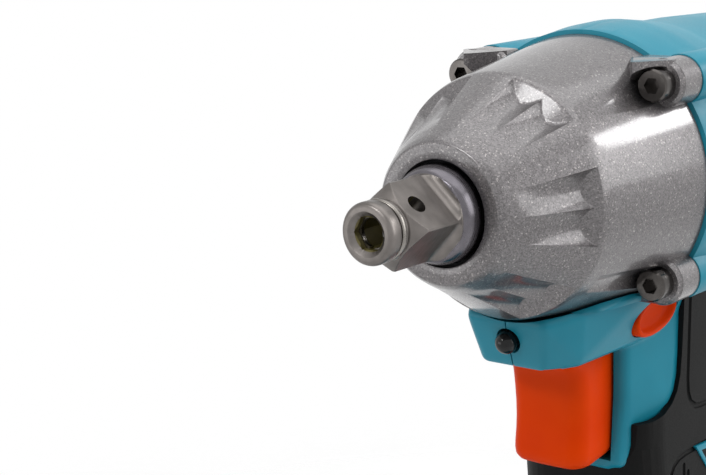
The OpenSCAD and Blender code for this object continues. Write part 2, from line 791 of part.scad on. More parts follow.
module screw_access() {
    for (p = screw_places)
        translate([screw_sink - far / 2 - p[2], p[0] - tip_reach, p[1]]) across(3.4, far);
}
module at_led() {
    translate(led_at) rotate([90 + chin_tilt, 0, 0]) children();
}
module led_room() {
    at_led() translate([0, 0, -4]) cylinder(r = led_r + case_gap / 2, h = 12, $fn = 12);
}
module blade_windows() {
    for (x = slot_places) span([x - 1, blade_rear - blade_len - 1, rail_top - 1],
        [x + 1, blade_rear + 1, rail_top + 4]);
}
module lead_window() {
    translate([-6, motor_lead_at - 2.5 - tip_reach, axis_height - 35]) cube([12, 5, 9]);
}
module housing_solid() {
    difference() {
        union() {
            difference() {
                housing_form();
                barrel_room();
                handle_room();
                foot_room();
            }
            stator_ribs();
            screw_bosses();
        }
        on_axis() case_outside(case_gap);
        on_axis() at_ears(screw_seat - 8)
            cylinder(r = ear_boss_r + free_gap, h = case_rear - screw_seat + 8);
        rail_channel();
        trigger_slot();
        selector_slot();
        vents();
        led_room();
        blade_windows();
        lead_window();
        for (p = screw_places) translate([0, p[0] - tip_reach, p[1]]) across(1.6, 2 * p[2] - 2);
        screw_access();
    }
}
module housing_left() {
    color([0.25, 0.62, 0.68]) intersection() {
        housing_solid();
        span([0, -far, -far], [far, far, 2 * far]);
    }
}
module housing_right() {
    color([0.25, 0.62, 0.68]) intersection() {
        housing_solid();
        span([-far, -far, -far], [0, far, 2 * far]);
    }
}
module housing_screws() {
    color([0.25, 0.25, 0.26]) for (p = screw_places)
        translate([screw_sink - p[2], p[0] - tip_reach, p[1]]) rotate([0, 90, 0])
            socket_screw(3.2, 2.4, 1.55, 2 * (p[2] - screw_sink), 2.5);
}
module grip_cut() {
    translate([0, -tip_reach, 0]) rotate([90, 0, 90]) translate([0, 0, -far / 2])
        linear_extrude(far) polygon([[handle_front + 16, axis_height - 27],
            [handle_front + 16, axis_height - 52],
            [handle_front + 11, axis_height - 60], [handle_front - 20, axis_height - 68],
            [handle_front - 20, foot_top + 9], [handle_front + handle_depth + 30, foot_top + 9],
            [handle_front + handle_depth + 30, axis_height - 27]]);
}
module grip_solid() {
    intersection() {
        difference() {
            union() {
                block_form(grip_skin);
                grip_form(grip_skin);
            }
            block_form(0);
            grip_form(0);
            barrel_form();
            trigger_slot();
        }
        grip_cut();
    }
}
module grip_left() {
    color([0.16, 0.16, 0.17]) intersection() {
        grip_solid();
        span([0, -far, -far], [far, far, 2 * far]);
    }
}
module grip_right() {
    color([0.16, 0.16, 0.17]) difference() {
        grip_solid();
        span([0, -far, -far], [far, far, 2 * far]);
        screw_access();
    }
}

// Trigger and switch ------------------------------------------------------------------
module trigger_profile() {
    polygon([[trigger_front, trigger_high], [trigger_front + 1.8, trigger_high - 3.5],
        [trigger_front + 3, trigger_high - 8], [trigger_front + 3.5, trigger_high - 13],
        [trigger_front + 3, trigger_high - 18], [trigger_front + 2.6, trigger_high - 21],
        [trigger_front + 4.4, trigger_low + 0.8], [trigger_front + 8.4, trigger_low],
        [trigger_rear, trigger_low + 1], [trigger_rear, trigger_low + 6],
        [trigger_rear - 1, trigger_high]]);
}
module at_plunger(at) {
    translate([0, at - tip_reach, axis_height - plunger_down]) rotate([-90, 0, 0]) children();
}
module trigger() {
    color([0.8, 0.22, 0.03]) {
        translate([0, -tip_reach, 0]) rotate([90, 0, 90]) translate([0, 0, -trigger_w / 2])
            linear_extrude(trigger_w) trigger_profile();
        at_plunger(trigger_rear - 2) cylinder(r = plunger_r, h = switch_at - trigger_rear + 4);
    }
}
module trigger_spring() {
    color([0.7, 0.7, 0.72]) at_plunger(trigger_rear + seat_gap)
        coil(trigger_spring_r, trigger_wire_r, 6, switch_at - trigger_rear - 2 * seat_gap);
}
module switch_module() {
    half = trigger_w / 2 - 1;
    color([0.13, 0.13, 0.14]) difference() {
        translate([0, -tip_reach, 0]) {
            span([-half, switch_at, trigger_low - 2],
                [half, switch_at + switch_len, trigger_high - 1]);
            translate([0, lever_pivot_at, trigger_high - 2]) cylinder(r = lever_pin_r, h = 5);
        }
        at_plunger(switch_at - 1) cylinder(r = plunger_r + run_gap, h = trigger_travel + 5);
    }
}
module at_selector() {
    translate([0, selector_at - tip_reach, axis_height - selector_down]) rotate([6, 0, 0]) children();
}
module oval_across(half_h, half_l, length) {
    for (end = [-1, 1]) translate([0, end * (half_l - half_h), 0]) across(half_h, length);
    cube([length, 2 * (half_l - half_h), 2 * half_h], center = true);
}
module selector_slot() {
    at_selector() oval_across(selector_h / 2 + free_gap, selector_len / 2 + free_gap, far);
}
module button_bar(half_w) {
    translate([-half_w, selector_at - bar_half_l - tip_reach, axis_height - bar_down - bar_half_h])
        cube([2 * half_w, 2 * bar_half_l, 2 * bar_half_h]);
}
module direction_button() {
    half = handle_half_w + selector_travel - selector_flush;
    inner = handle_half_w - wall - 1;
    pin_half = lever_pin_r + 0.3;
    pin_front = lever_pivot_at - lever_reach - lever_pin_r - free_gap;
    color([0.85, 0.25, 0.06]) {
        difference() {
            at_selector() oval_across(selector_h / 2, selector_len / 2, 2 * half);
            span([-inner, -far, 0], [inner, far, 2 * far]);
            for (side = [-1, 1]) at_selector()
                translate([side * (half + dish_r - dish_depth), 0, 0]) sphere(r = dish_r);
            for (side = [-1, 1]) translate([side * selector_travel, 0, 0])
                on_axis() cylinder(r = case_rear_r + free_gap, h = case_rear + free_gap);
        }
        difference() {
            button_bar(inner + 1);
            span([-pin_half, pin_front - tip_reach, 0], [pin_half, far, 2 * far]);
        }
    }
}
module direction_lever() {
    plate_z = trigger_high + 1;
    pivot_y = lever_pivot_at - tip_reach;
    tip_y = pivot_y - lever_reach;
    color([0.3, 0.3, 0.31]) difference() {
        union() {
            translate([0, pivot_y, plate_z]) cylinder(r = 2 * lever_pin_r, h = lever_t);
            span([-lever_pin_r, tip_y, plate_z], [lever_pin_r, pivot_y, plate_z + lever_t]);
            translate([0, tip_y, plate_z]) cylinder(r = lever_pin_r, h = lever_pin_h);
        }
        translate([0, pivot_y, 0]) cylinder(r = lever_pin_r + run_gap, h = 2 * far);
    }
}

// Light, electronics and leads ------------------------------------------------------------
module led_lens() {
    color([0.85, 0.88, 0.9]) at_led() {
        intersection() {
            translate([0, 0, -0.6]) sphere(r = led_r);
            translate([0, 0, -0.6]) cylinder(r = led_r, h = led_r);
        }
        translate([0, 0, -2.8]) cylinder(r = led_r, h = 2.3);
    }
}
module led_board() {
    color([0.1, 0.35, 0.2]) at_led() translate([0, 0, -3.9]) cylinder(r = led_r, h = 1);
}
module control_board() {
    half = battery_w / 2 - 14;
    z = rail_top + 3.1;
    color([0.1, 0.35, 0.2]) {
        span([-half, -battery_l / 2 + 24, z], [half, blade_rear - blade_len - 10, z + 1.6]);
        for (i = [0:5]) span([-half + 4 + 7 * i, -10, z + 1.6], [-half + 8 + 7 * i, -4, z + 4.6]);
    }
}
module terminal_block() {
    z = rail_top + 3.1;
    color([0.12, 0.12, 0.13]) difference() {
        span([-20, blade_rear - blade_len - 4, z], [20, blade_rear + 2, z + 5]);
        for (x = slot_places) span([x - 0.4 - seat_gap, blade_rear - blade_len - seat_gap, 0],
            [x + 0.4 + seat_gap, blade_rear + seat_gap, z + 4]);
    }
}
module contact_blades() {
    color([0.78, 0.6, 0.25]) for (x = slot_places)
        span([x - 0.4, blade_rear - blade_len, rail_top - 5.5], [x + 0.4, blade_rear, rail_top + 7]);
}
// Round lead through a list of points
module lead(points, r) {
    for (i = [0:len(points) - 2]) {
        step = points[i + 1] - points[i];
        reach = norm(step);
        translate(points[i]) rotate([0, acos(step[2] / reach), atan2(step[1], step[0])])
            cylinder(r = r, h = reach);
    }
    for (i = [1:len(points) - 2]) translate(points[i]) sphere(r = 1.08 * r);
}
module power_leads() {
    color([0.7, 0.1, 0.08]) for (x = [-5, 5])
        lead([[x, blade_rear - blade_len - 4, rail_top + 6.5], [x, 13, rail_top + 6.5],
            [x, 10, foot_top + 2], [x, switch_at + 8 - tip_reach, trigger_low - 2]], 1.1);
}
module motor_leads() {
    y = motor_lead_at - tip_reach;
    color([0.15, 0.15, 0.5]) for (x = [-3, 0, 3])
        lead([[x, 4, rail_top + 6], [x, y, foot_top + 4], [x, y, axis_height - 27.6]], 0.8);
}

// Battery ------------------------------------------------------------------------------------
module pack_block(low, high, inset) {
    translate([0, 0, low]) linear_extrude(high - low)
        rounded_rect(battery_w - 2 * inset, battery_l - 2 * inset, corner_r - inset);
}
module at_pack_posts() {
    for (x = [-1, 1], y = [-1, 1])
        translate([x * (battery_w / 2 - 7.5), y * (battery_l / 2 - 6), 0]) children();
}
module battery_bottom_shell() {
    color([0.14, 0.14, 0.15]) difference() {
        union() {
            difference() {
                pack_block(0, shell_split - eps, 0);
                pack_block(wall, shell_split + 1, wall);
            }
            intersection() {
                at_pack_posts() cylinder(r = post_r, h = shell_split - eps);
                pack_block(0, shell_split, 1);
            }
        }
        at_pack_posts() translate([0, 0, -1]) cylinder(r = 1.8, h = far);
        at_pack_posts() translate([0, 0, -1]) cylinder(r = 3, h = 4.2);
    }
}
module battery_top_shell() {
    latch_back = latch_at + latch_depth + free_gap;
    tab_half = latch_half_w + 4;
    pocket_low = latch_low - latch_travel - free_gap;
    color([0.14, 0.14, 0.15]) difference() {
        union() {
            difference() {
                pack_block(shell_split, battery_h, 0);
                pack_block(shell_split - 1, battery_h - wall, wall);
            }
            intersection() {
                union() {
                    at_pack_posts() translate([0, 0, shell_split])
                        cylinder(r = post_r, h = battery_h - shell_split);
                    span([-tab_half - 3, -battery_l / 2, shell_split],
                        [tab_half + 3, latch_back + 2.5, battery_h]);
                }
                pack_block(0, battery_h, 1);
            }
            span([-neck_half_w, rail_front, battery_h - 1], [neck_half_w, rail_rear, rail_top]);
            span([-rail_half_w, rail_front, rail_low], [rail_half_w, rail_rear, rail_top]);
        }
        for (x = slot_places) span([x - slot_w / 2, rail_rear - slot_len, battery_h + 2],
            [x + slot_w / 2, far, far]);
        span([-tab_half - free_gap, -far, pocket_low],
            [tab_half + free_gap, latch_at - free_gap, far]);
        span([-latch_half_w - free_gap, -far, pocket_low],
            [latch_half_w + free_gap, latch_back, far]);
        translate([0, latch_at + latch_depth / 2, pocket_low - 2]) cylinder(r = 4, h = 3);
        at_pack_posts() cylinder(r = 1.6, h = battery_h - wall);
    }
}
module battery_latch() {
    tab_half = latch_half_w + 4;
    color([0.8, 0.22, 0.03]) {
        span([-latch_half_w, latch_at, latch_low],
            [latch_half_w, latch_at + latch_depth, rail_top + 2.4]);
        span([-tab_half, -battery_l / 2 - 0.6, latch_low],
            [tab_half, latch_at - 2 * free_gap, latch_low + tab_h]);
        span([-latch_half_w, latch_at - 2 * free_gap - 1, latch_low],
            [latch_half_w, latch_at + 1, latch_low + tab_h]);
    }
}
module latch_spring() {
    well = 2;
    len = latch_travel + free_gap + well;
    color([0.7, 0.7, 0.72]) translate([0, latch_at + latch_depth / 2, latch_low - len + 0.1])
        coil(2.4, 0.35, 4, len - 0.3);
}
module at_cells() {
    for (i = [-2:2], k = [0, 1]) translate([0, i * cell_pitch, cell_low + k * cell_pitch]) children();
}
module battery_cells() {
    color([0.2, 0.45, 0.35]) at_cells() across(cell_r, cell_len);
}
module cell_holders() {
    half = 2 * cell_pitch + cell_r + 0.5;
    low = wall + seat_gap;
    color([0.1, 0.1, 0.1]) difference() {
        for (side = [-1, 1]) translate([side * (cell_len / 2 - 6), 0, 0])
            span([-4.5, -half, low], [4.5, half, shell_split + 3]);
        at_cells() across(cell_r + seat_gap, cell_len + 2);
    }
}
module cell_straps() {
    color([0.75, 0.75, 0.72]) for (side = [-1, 1], i = [-2:2])
        translate([side * (cell_len / 2 + 0.25), i * cell_pitch, cell_low + cell_pitch / 2])
            cube([0.3, cell_pitch - 4, cell_pitch + 8], center = true);
}
module battery_board() {
    color([0.1, 0.35, 0.2]) span([-cell_len / 2 + 2, -36, shell_split + 3 + seat_gap],
        [cell_len / 2 - 2, 36, shell_split + 4.6]);
}
module battery_contacts() {
    front = blade_rear - blade_len + 1;
    color([0.78, 0.6, 0.25]) for (x = slot_places, side = [-1, 1])
        translate([x + side * 1.05, 0, 0])
            span([-0.3, front, battery_h + 2 + seat_gap], [0.3, front + clip_len, rail_top - 0.5]);
}
module battery_screws() {
    color([0.25, 0.25, 0.26]) at_pack_posts() translate([0, 0, 3.2]) socket_screw(2.8, 2, 1.5,
        shell_split + 6, 2);
}

anvil();
friction_ring();
bit_ring();
nose_seal();
nose_bushing();
thrust_washer();
hammer();
hammer_balls();
hammer_spring();
spring_washer();
spindle();
planet_pins();
planet_gear(1);  // planet_gear_1
planet_gear(2);  // planet_gear_2
planet_gear(3);  // planet_gear_3
ring_gear();
gearbox_plate();
spindle_bearing();
motor_pinion();
motor_shaft();
front_motor_bearing();
rear_motor_bearing();
rotor();
stator();
stator_coils();
stator_frames();
motor_board();
fan();
hammer_case();
case_screws();
housing_left();
housing_right();
housing_screws();
grip_left();
grip_right();
trigger();
trigger_spring();
switch_module();
direction_button();
direction_lever();
led_lens();
led_board();
control_board();
terminal_block();
contact_blades();
power_leads();
motor_leads();
battery_top_shell();
battery_bottom_shell();
battery_cells();
cell_holders();
cell_straps();
battery_board();
battery_contacts();
battery_latch();
latch_spring();
battery_screws();
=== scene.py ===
import json
import math

import bmesh
import bpy
import numpy as np
from mathutils import Matrix, Vector


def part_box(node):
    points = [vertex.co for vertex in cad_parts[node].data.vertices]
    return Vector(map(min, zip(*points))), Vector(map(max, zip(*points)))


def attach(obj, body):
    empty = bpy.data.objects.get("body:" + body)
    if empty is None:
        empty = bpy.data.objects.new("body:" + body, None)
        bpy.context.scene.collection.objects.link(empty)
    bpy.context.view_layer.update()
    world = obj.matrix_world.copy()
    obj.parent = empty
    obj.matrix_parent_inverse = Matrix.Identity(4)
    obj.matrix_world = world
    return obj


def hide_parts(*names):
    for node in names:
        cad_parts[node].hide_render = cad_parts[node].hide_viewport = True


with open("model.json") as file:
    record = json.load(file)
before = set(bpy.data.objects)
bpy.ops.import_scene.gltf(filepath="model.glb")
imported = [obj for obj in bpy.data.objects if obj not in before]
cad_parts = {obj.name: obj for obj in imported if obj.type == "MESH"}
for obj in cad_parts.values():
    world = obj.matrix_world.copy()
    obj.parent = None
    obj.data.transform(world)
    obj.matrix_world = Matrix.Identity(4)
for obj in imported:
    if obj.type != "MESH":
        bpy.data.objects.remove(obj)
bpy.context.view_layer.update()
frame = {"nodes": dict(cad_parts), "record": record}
nodes = frame["nodes"]
slotOf = {part["node"]: part["material_slot"] for part in frame["record"]["subparts"]}
bodyOf = {name: body for body, names in frame["record"]["behaviour"]["bodies"].items()
          for name in names}
print("frame loaded:", len(nodes), "nodes")

# the drive axis runs along Y at this height, and stations are counted back from the anvil's tip
mm = 0.001
axisHeight = (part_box("anvil")[0].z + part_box("anvil")[1].z) / 2
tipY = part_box("anvil")[0].y


def station(back):
    return tipY + back * mm


def at(x, back, height):
    # tool millimetres to the frame: across, behind the tip, over the drive's axis
    return Vector((x * mm, station(back), axisHeight + height * mm))


def linearColor(code):
    parts = [int(code[i:i + 2], 16) / 255 for i in (1, 3, 5)]
    return [p / 12.92 if p <= 0.04045 else ((p + 0.055) / 1.055) ** 2.4 for p in parts] + [1.0]


def addNode(tree, kind, inputs=None, stops=(), **settings):
    # a socket among the inputs is linked, and stops are the places and colours of a ramp's ends
    made = tree.nodes.new(kind)
    for name, value in settings.items():
        setattr(made, name, value)
    for end, (position, code) in zip(made.color_ramp.elements if stops else (), stops):
        end.position, end.color = position, linearColor(code)
    for socket, value in (inputs or {}).items():
        if isinstance(value, bpy.types.NodeSocket):
            tree.links.new(value, made.inputs[socket])
        else:
            made.inputs[socket].default_value = value
    return made


def addObject(name, data):
    made = bpy.data.objects.new(name, data)
    bpy.context.collection.objects.link(made)
    return made


def meshPiece(name, vertices, faces, material, smoothAngle=35):
    mesh = bpy.data.meshes.new(name)
    mesh.from_pydata([tuple(v) for v in vertices], [], faces)
    mesh.validate()
    mesh.materials.append(material)
    piece = addObject(name, mesh)
    finishShading(piece, smoothAngle)
    return piece


def newPiece(name, work, material):
    # turns a bmesh into an object
    mesh = bpy.data.meshes.new(name)
    work.to_mesh(mesh)
    work.free()
    mesh.materials.append(material)
    return addObject(name, mesh)


def finishShading(piece, smoothAngle=35):
    work = bmesh.new()
    work.from_mesh(piece.data)
    bmesh.ops.recalc_face_normals(work, faces=work.faces)
    work.to_mesh(piece.data)
    work.free()
    piece.data.shade_smooth()
    piece.data.set_sharp_from_angle(angle=math.radians(smoothAngle))


def applyModifiers(piece):
    graph = bpy.context.evaluated_depsgraph_get()
    made = bpy.data.meshes.new_from_object(piece.evaluated_get(graph))
    made.name = piece.name
    piece.modifiers.clear()
    piece.data = made
    return piece


def cutWith(piece, tool, operation="DIFFERENCE"):
    # cut faces take the piece's own material
    tool.data.materials.clear()
    tool.data.materials.append(piece.data.materials[0])
    step = piece.modifiers.new("cut", "BOOLEAN")
    step.operation = operation
    step.solver = "MANIFOLD"
    step.object = tool
    applyModifiers(piece)
    bpy.data.objects.remove(tool)
    return piece


def softEdges(piece, width, segments, angle):
    step = piece.modifiers.new("edges", "BEVEL")
    step.width = width * mm
    step.segments = segments
    step.limit_method = "ANGLE"
    step.angle_limit = math.radians(angle)
    step.harden_normals = False
    applyModifiers(piece)


def wrapped(name, points, material):
    # the tight skin round a set of points
    work = bmesh.new()
    for point in points:
        work.verts.new(point)
    skin = bmesh.ops.convex_hull(work, input=work.verts, use_existing_faces=False)
    inside = skin["geom_interior"] + skin["geom_unused"]
    spare = {v for v in inside if isinstance(v, bmesh.types.BMVert)}
    bmesh.ops.delete(work, geom=list(spare), context="VERTS")
    bmesh.ops.recalc_face_normals(work, faces=work.faces)
    return newPiece(name, work, material)


ball = bmesh.new()
bmesh.ops.create_icosphere(ball, subdivisions=2, radius=1)
directions = [v.co.copy() for v in ball.verts]
ball.free()


def wrapPoints(name, balls, material, mirrored=True):
    # balls are given as x, back, height, radius
    points = [at(side * x, back, height) + way * radius * mm for x, back, height, radius in balls
              for side in ((-1, 1) if mirrored else (1,)) for way in directions]
    return wrapped(name, points, material)


def boxPiece(low, high):
    work = bmesh.new()
    bmesh.ops.create_cube(work, size=1)
    middle, size = (Vector(low) + Vector(high)) / 2, Vector(high) - Vector(low)
    place = at(*middle)
    for v in work.verts:
        v.co = place + Vector([v.co[i] * size[i] * mm for i in range(3)])
    return newPiece("cutter", work, finishes["black_plastic"])


def prismBetween(name, first, second, material):
    # a solid between two outlines with the same number of corners
    work = bmesh.new()
    near = [work.verts.new(p) for p in first]
    far = [work.verts.new(p) for p in second]
    count = len(near)
    work.faces.new(near)
    work.faces.new(far)
    for k in range(count):
        n = (k + 1) % count
        work.faces.new((near[k], near[n], far[n], far[k]))
    bmesh.ops.recalc_face_normals(work, faces=work.faces)
    return newPiece(name, work, material)


def sidePrism(outline, low, high):
    # a plate whose outline is drawn on the tool's side as back, height
    return prismBetween("cutter", [at(low, *p) for p in outline], [at(high, *p) for p in outline],
                        finishes["black_plastic"])


def roundBar(start, end, radius, sides=48, endRadius=None):
    work = bmesh.new()
    start, end = at(*start), at(*end)
    middle, along = (start + end) / 2, end - start
    turn = along.to_track_quat("Z", "Y").to_matrix().to_4x4()
    bmesh.ops.create_cone(work, cap_ends=True, segments=sides, radius1=radius * mm,
                          radius2=(radius if endRadius is None else endRadius) * mm,
                          depth=along.length, matrix=Matrix.Translation(middle) @ turn)
    return newPiece("cutter", work, finishes["black_plastic"])


def meltTogether(pieces, grain, rounds):
    # joins solids into one skin and eases every edge, as a mould's radii do
    first = pieces[0]
    for other in pieces[1:]:
        cutWith(first, other, "UNION")
    step = first.modifiers.new("skin", "REMESH")
    step.mode, step.voxel_size = "VOXEL", grain * mm
    step = first.modifiers.new("ease", "SMOOTH")
    step.factor, step.iterations = 0.5, rounds
    return applyModifiers(first)


def copyOfNode(name, pieceName, material):
    # a node is loose triangles, so its copy is joined up and its flat areas are made whole
    work = bmesh.new()
    work.from_mesh(nodes[name].data)
    bmesh.ops.remove_doubles(work, verts=work.verts, dist=0.001 * mm)
    bmesh.ops.dissolve_limit(work, angle_limit=math.radians(0.4), verts=work.verts,
                             edges=work.edges)
    return newPiece(pieceName, work, material)


def handIn(piece, nodeName):
    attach(piece, bodyOf[nodeName])
    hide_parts(nodeName)


def folded(angles, middle, step):
    # how far each angle is from the nearest of the places that repeat every step
    return (angles - middle + step / 2) % step - step / 2


def squared(value, power):
    # a sine or cosine pushed outwards, which gives a circle fuller corners
    return math.copysign(abs(value) ** power, value)


def skinFaces(rings, count, closed=False):
    # quads from ring to ring, then a lid on each end unless the last ring meets the first
    faces = []
    for i in range(rings if closed else rings - 1):
        a, b = i * count, (i + 1) % rings * count
        faces += [(a + k, a + (k + 1) % count, b + (k + 1) % count, b + k) for k in range(count)]
    if not closed:
        faces += [tuple(range(count)), tuple(range((rings - 1) * count, rings * count))]
    return faces


def polarLoft(name, angles, rings, material, smoothAngle, closed=False):
    # rings are given as radius and station, and either may vary with the angle
    points = []
    for ring in rings:
        radius, back = [np.broadcast_to(np.asarray(v, float), angles.shape) for v in ring]
        points.append(np.stack([radius * np.cos(angles) * mm, station(back),
                                axisHeight + radius * np.sin(angles) * mm], axis=1))
    faces = skinFaces(len(rings), len(angles), closed)
    return meshPiece(name, np.concatenate(points), faces, material, smoothAngle)


def newMaterial(name):
    material = bpy.data.materials.new(name)
    material.use_nodes = True
    tree = material.node_tree
    tree.nodes.clear()
    return material, tree, addNode(tree, "ShaderNodeTexCoord").outputs["Object"]


def grainedFinish(name, dark, light, blotch, grain, gloss, relief, values, stretch=(1, 1, 1)):
    # blotch and grain are noises, each given as its spacing in millimetres and its detail: blotch
    # drifts the colour from dark to light, grain varies the roughness and gives the relief
    material, tree, place = newMaterial(name)
    along = addNode(tree, "ShaderNodeMapping", {"Vector": place, "Scale": stretch}).outputs[0]
    broad, fine = [
        addNode(tree, "ShaderNodeTexNoise",
                {"Vector": where, "Scale": 1 / (size * mm), "Detail": detail}).outputs["Fac"]
        for where, (size, detail) in ((place, blotch), (along, grain))]
    tint = addNode(tree, "ShaderNodeValToRGB", {"Fac": broad}, ((0.35, dark), (0.65, light)))
    rough = addNode(tree, "ShaderNodeMapRange", {
        "Value": fine, "From Min": 0.3, "From Max": 0.7, "To Min": gloss[0], "To Max": gloss[1]})
    inputs = {"Base Color": tint.outputs[0], "Roughness": rough.outputs[0], **values}
    depth, strength = relief
    if depth:
        bump = addNode(tree, "ShaderNodeBump",
                       {"Height": fine, "Distance": depth * mm, "Strength": strength})
        inputs["Normal"] = bump.outputs[0]
    surface = addNode(tree, "ShaderNodeBsdfPrincipled", inputs)
    addNode(tree, "ShaderNodeOutputMaterial", {"Surface": surface.outputs[0]})
    return material


def mouldedPlastic(name, dark, light, roughness, grain, depth, gloss=0.5):
    # injection moulded: a spark-eroded grain breaks up the highlight, drawn coarse enough to show
    return grainedFinish(name, dark, light, (14, 2), (grain, 4), (roughness - 0.05, roughness + 0.06),
                         (depth, 0.6), {"IOR": 1.5, "Specular IOR Level": gloss})


def turnedMetal(name, dark, light, roughness, line, depth, stretch=(1, 1, 1), metallic=1.0):
    # worked metal: tool lines and a little uneven gloss, drawn coarser than real ones so they show
    return grainedFinish(name, dark, light, (5, 3), (line, 3), (roughness - 0.06, roughness + 0.08),
                         (depth, 0.5), {"Metallic": metallic}, stretch)


def clearLens(name):
    # clear acrylic over an unlit lamp, coloured near black as painted shade for the hollow seen through it:
    # reads as dark glass with sharp small highlights
    return grainedFinish(name, "#070808", "#121516", (1.5, 2), (1.5, 2), (0.03, 0.06), (0, 0),
                         {"IOR": 1.49, "Specular IOR Level": 0.3})


def paintedCasting(name):
    # metallic paint on cast aluminium: a fine sparkle under a clear coat. The flakes are 0.27 mm,
    # coarser than real ones so they show
    material, tree, place = newMaterial(name)
    flakes = addNode(tree, "ShaderNodeTexVoronoi", {"Vector": place, "Scale": 1 / (0.27 * mm)})
    tone = addNode(tree, "ShaderNodeSeparateColor", {"Color": flakes.outputs["Color"]}).outputs
    base = addNode(tree, "ShaderNodeValToRGB", {"Fac": tone[0]}, ((0.0, "#565354"), (1.0, "#747172")))
    sparkle = addNode(tree, "ShaderNodeValToRGB", {"Fac": tone[1]},
                      ((0.93, "#000000"), (0.99, "#6e6a68")))
    paint = addNode(tree, "ShaderNodeMix", {0: 1.0, 6: base.outputs[0], 7: sparkle.outputs[0]},
                    data_type="RGBA", blend_type="ADD")
    broad = addNode(tree, "ShaderNodeTexNoise", {"Vector": place, "Scale": 1 / (6 * mm), "Detail": 3})
    rough = addNode(tree, "ShaderNodeMapRange", {
        "Value": broad.outputs["Fac"], "From Min": 0.3, "From Max": 0.7, "To Min": 0.4, "To Max": 0.48})
    pits = addNode(tree, "ShaderNodeTexNoise", {"Vector": place, "Scale": 1 / (0.45 * mm), "Detail": 3})
    cast = addNode(tree, "ShaderNodeBump",
                   {"Height": pits.outputs["Fac"], "Distance": 0.035 * mm, "Strength": 1.0})
    relief = addNode(tree, "ShaderNodeBump", {
        "Height": tone[2], "Distance": 0.012 * mm, "Strength": 1.0, "Normal": cast.outputs[0]})
    surface = addNode(tree, "ShaderNodeBsdfPrincipled", {
        "Base Color": paint.outputs[2], "Roughness": rough.outputs[0], "Normal": relief.outputs[0],
        "Metallic": 0.9, "Coat Weight": 0.8, "Coat Roughness": 0.12})
    addNode(tree, "ShaderNodeOutputMaterial", {"Surface": surface.outputs[0]})
    return material


# tool lines that run along the tool or round its axis
lengthwise = (1, 0.05, 1)
around = (0.08, 1, 0.08)
finishes = {
    "case_silver": paintedCasting("metallicPaintCast"),
    # ground square and head: a soft satin sheen
    "steel": turnedMetal("groundSteel", "#66625f", "#7a7572", 0.38, 0.22, 0.006, around),
    # finer ground running face: brighter and sharper streaks
    "groundCollar": turnedMetal("collarSteel", "#5d5a5f", "#6e6b70", 0.24, 0.2, 0.004, around),
    # broached socket: dark and brown-green, its darkness painted shade in the recess
    "socketPaintedShade": turnedMetal("socketPaintedShadeSteel", "#514a26", "#655d33", 0.45, 0.5, 0.006,
                               lengthwise, 0.35),
    # heat-blackened steel: dark with small hard highlights
    "dark_steel": turnedMetal("blackenedSteel", "#454240", "#5a5755", 0.17, 0.3, 0.004),
    # drawn wire: bright and slightly scored
    "spring_steel": turnedMetal("drawnSpringSteel", "#77736f", "#8d8984", 0.3, 0.2, 0.01),
    # pressed powder: warm, dull and faintly pitted
    "bronze": turnedMetal("sinteredBronze", "#8a6a3c", "#a5824b", 0.42, 0.3, 0.02),
    # felt soaked in oil: near black with hardly any sheen
    "seal_felt": mouldedPlastic("oiledFelt", "#16161a", "#232326", 0.85, 0.4, 0.06),
    # glass-filled nylon: an even colour with a broad soft highlight
    "teal_plastic": mouldedPlastic("tealNylonMoulded", "#127f95", "#16849a", 0.38, 0.25, 0.008, 0.3),
    # soft rubber moulded over the handle: deep black, and highlights stay faint
    "grip_rubber": mouldedPlastic("softGripRubber", "#070707", "#0b0b0b", 0.55, 0.3, 0.02, 0.12),
    # smooth ABS: a full colour with a weak sheen
    "red_plastic": mouldedPlastic("orangeAbsMoulded", "#da3a00", "#df3f00", 0.42, 0.3, 0.005, 0.06),
    # eroded nylon: charcoal and matt
    "black_plastic": mouldedPlastic("blackNylonMoulded", "#19191b", "#222225", 0.5, 0.25, 0.015),
    # clear acrylic coloured near black: painted shade for the hollow behind it
    "clear_lens": clearLens("clearAcrylic"),
    # solder lacquer on a circuit board: glossy green
    "board": mouldedPlastic("boardLacquer", "#0b4a26", "#136032", 0.3, 0.6, 0.01),
    # enamelled winding wire: coppery with lengthwise streaks
    "copper": turnedMetal("enamelledCopper", "#9c5326", "#c0703a", 0.28, 0.5, 0.05, lengthwise),
    # stamped and plated strip: pale gold and clean
    "contact_brass": turnedMetal("tinnedBrass", "#b08c42", "#cda65a", 0.25, 0.3, 0.01),
    # extruded sleeves: smooth and lightly glossy
    "red_wire": mouldedPlastic("redWireSleeve", "#8e140e", "#a51b13", 0.4, 0.4, 0.01),
    "blue_wire": mouldedPlastic("blueWireSleeve", "#142272", "#1b2c8a", 0.4, 0.4, 0.01),
    # heat-shrunk film on the cells: tight and shiny
    "cell_sleeve": mouldedPlastic("shrinkSleeve", "#1f6b4c", "#28805c", 0.28, 0.6, 0.01),
    # rolled and plated strip: pale and bright
    "nickel": turnedMetal("platedNickel", "#a19d95", "#b8b4ab", 0.2, 0.3, 0.008),
}
for name, node in nodes.items():
    node.data.materials.clear()
    node.data.materials.append(finishes[slotOf[name]])
print("materials made:", len(finishes))

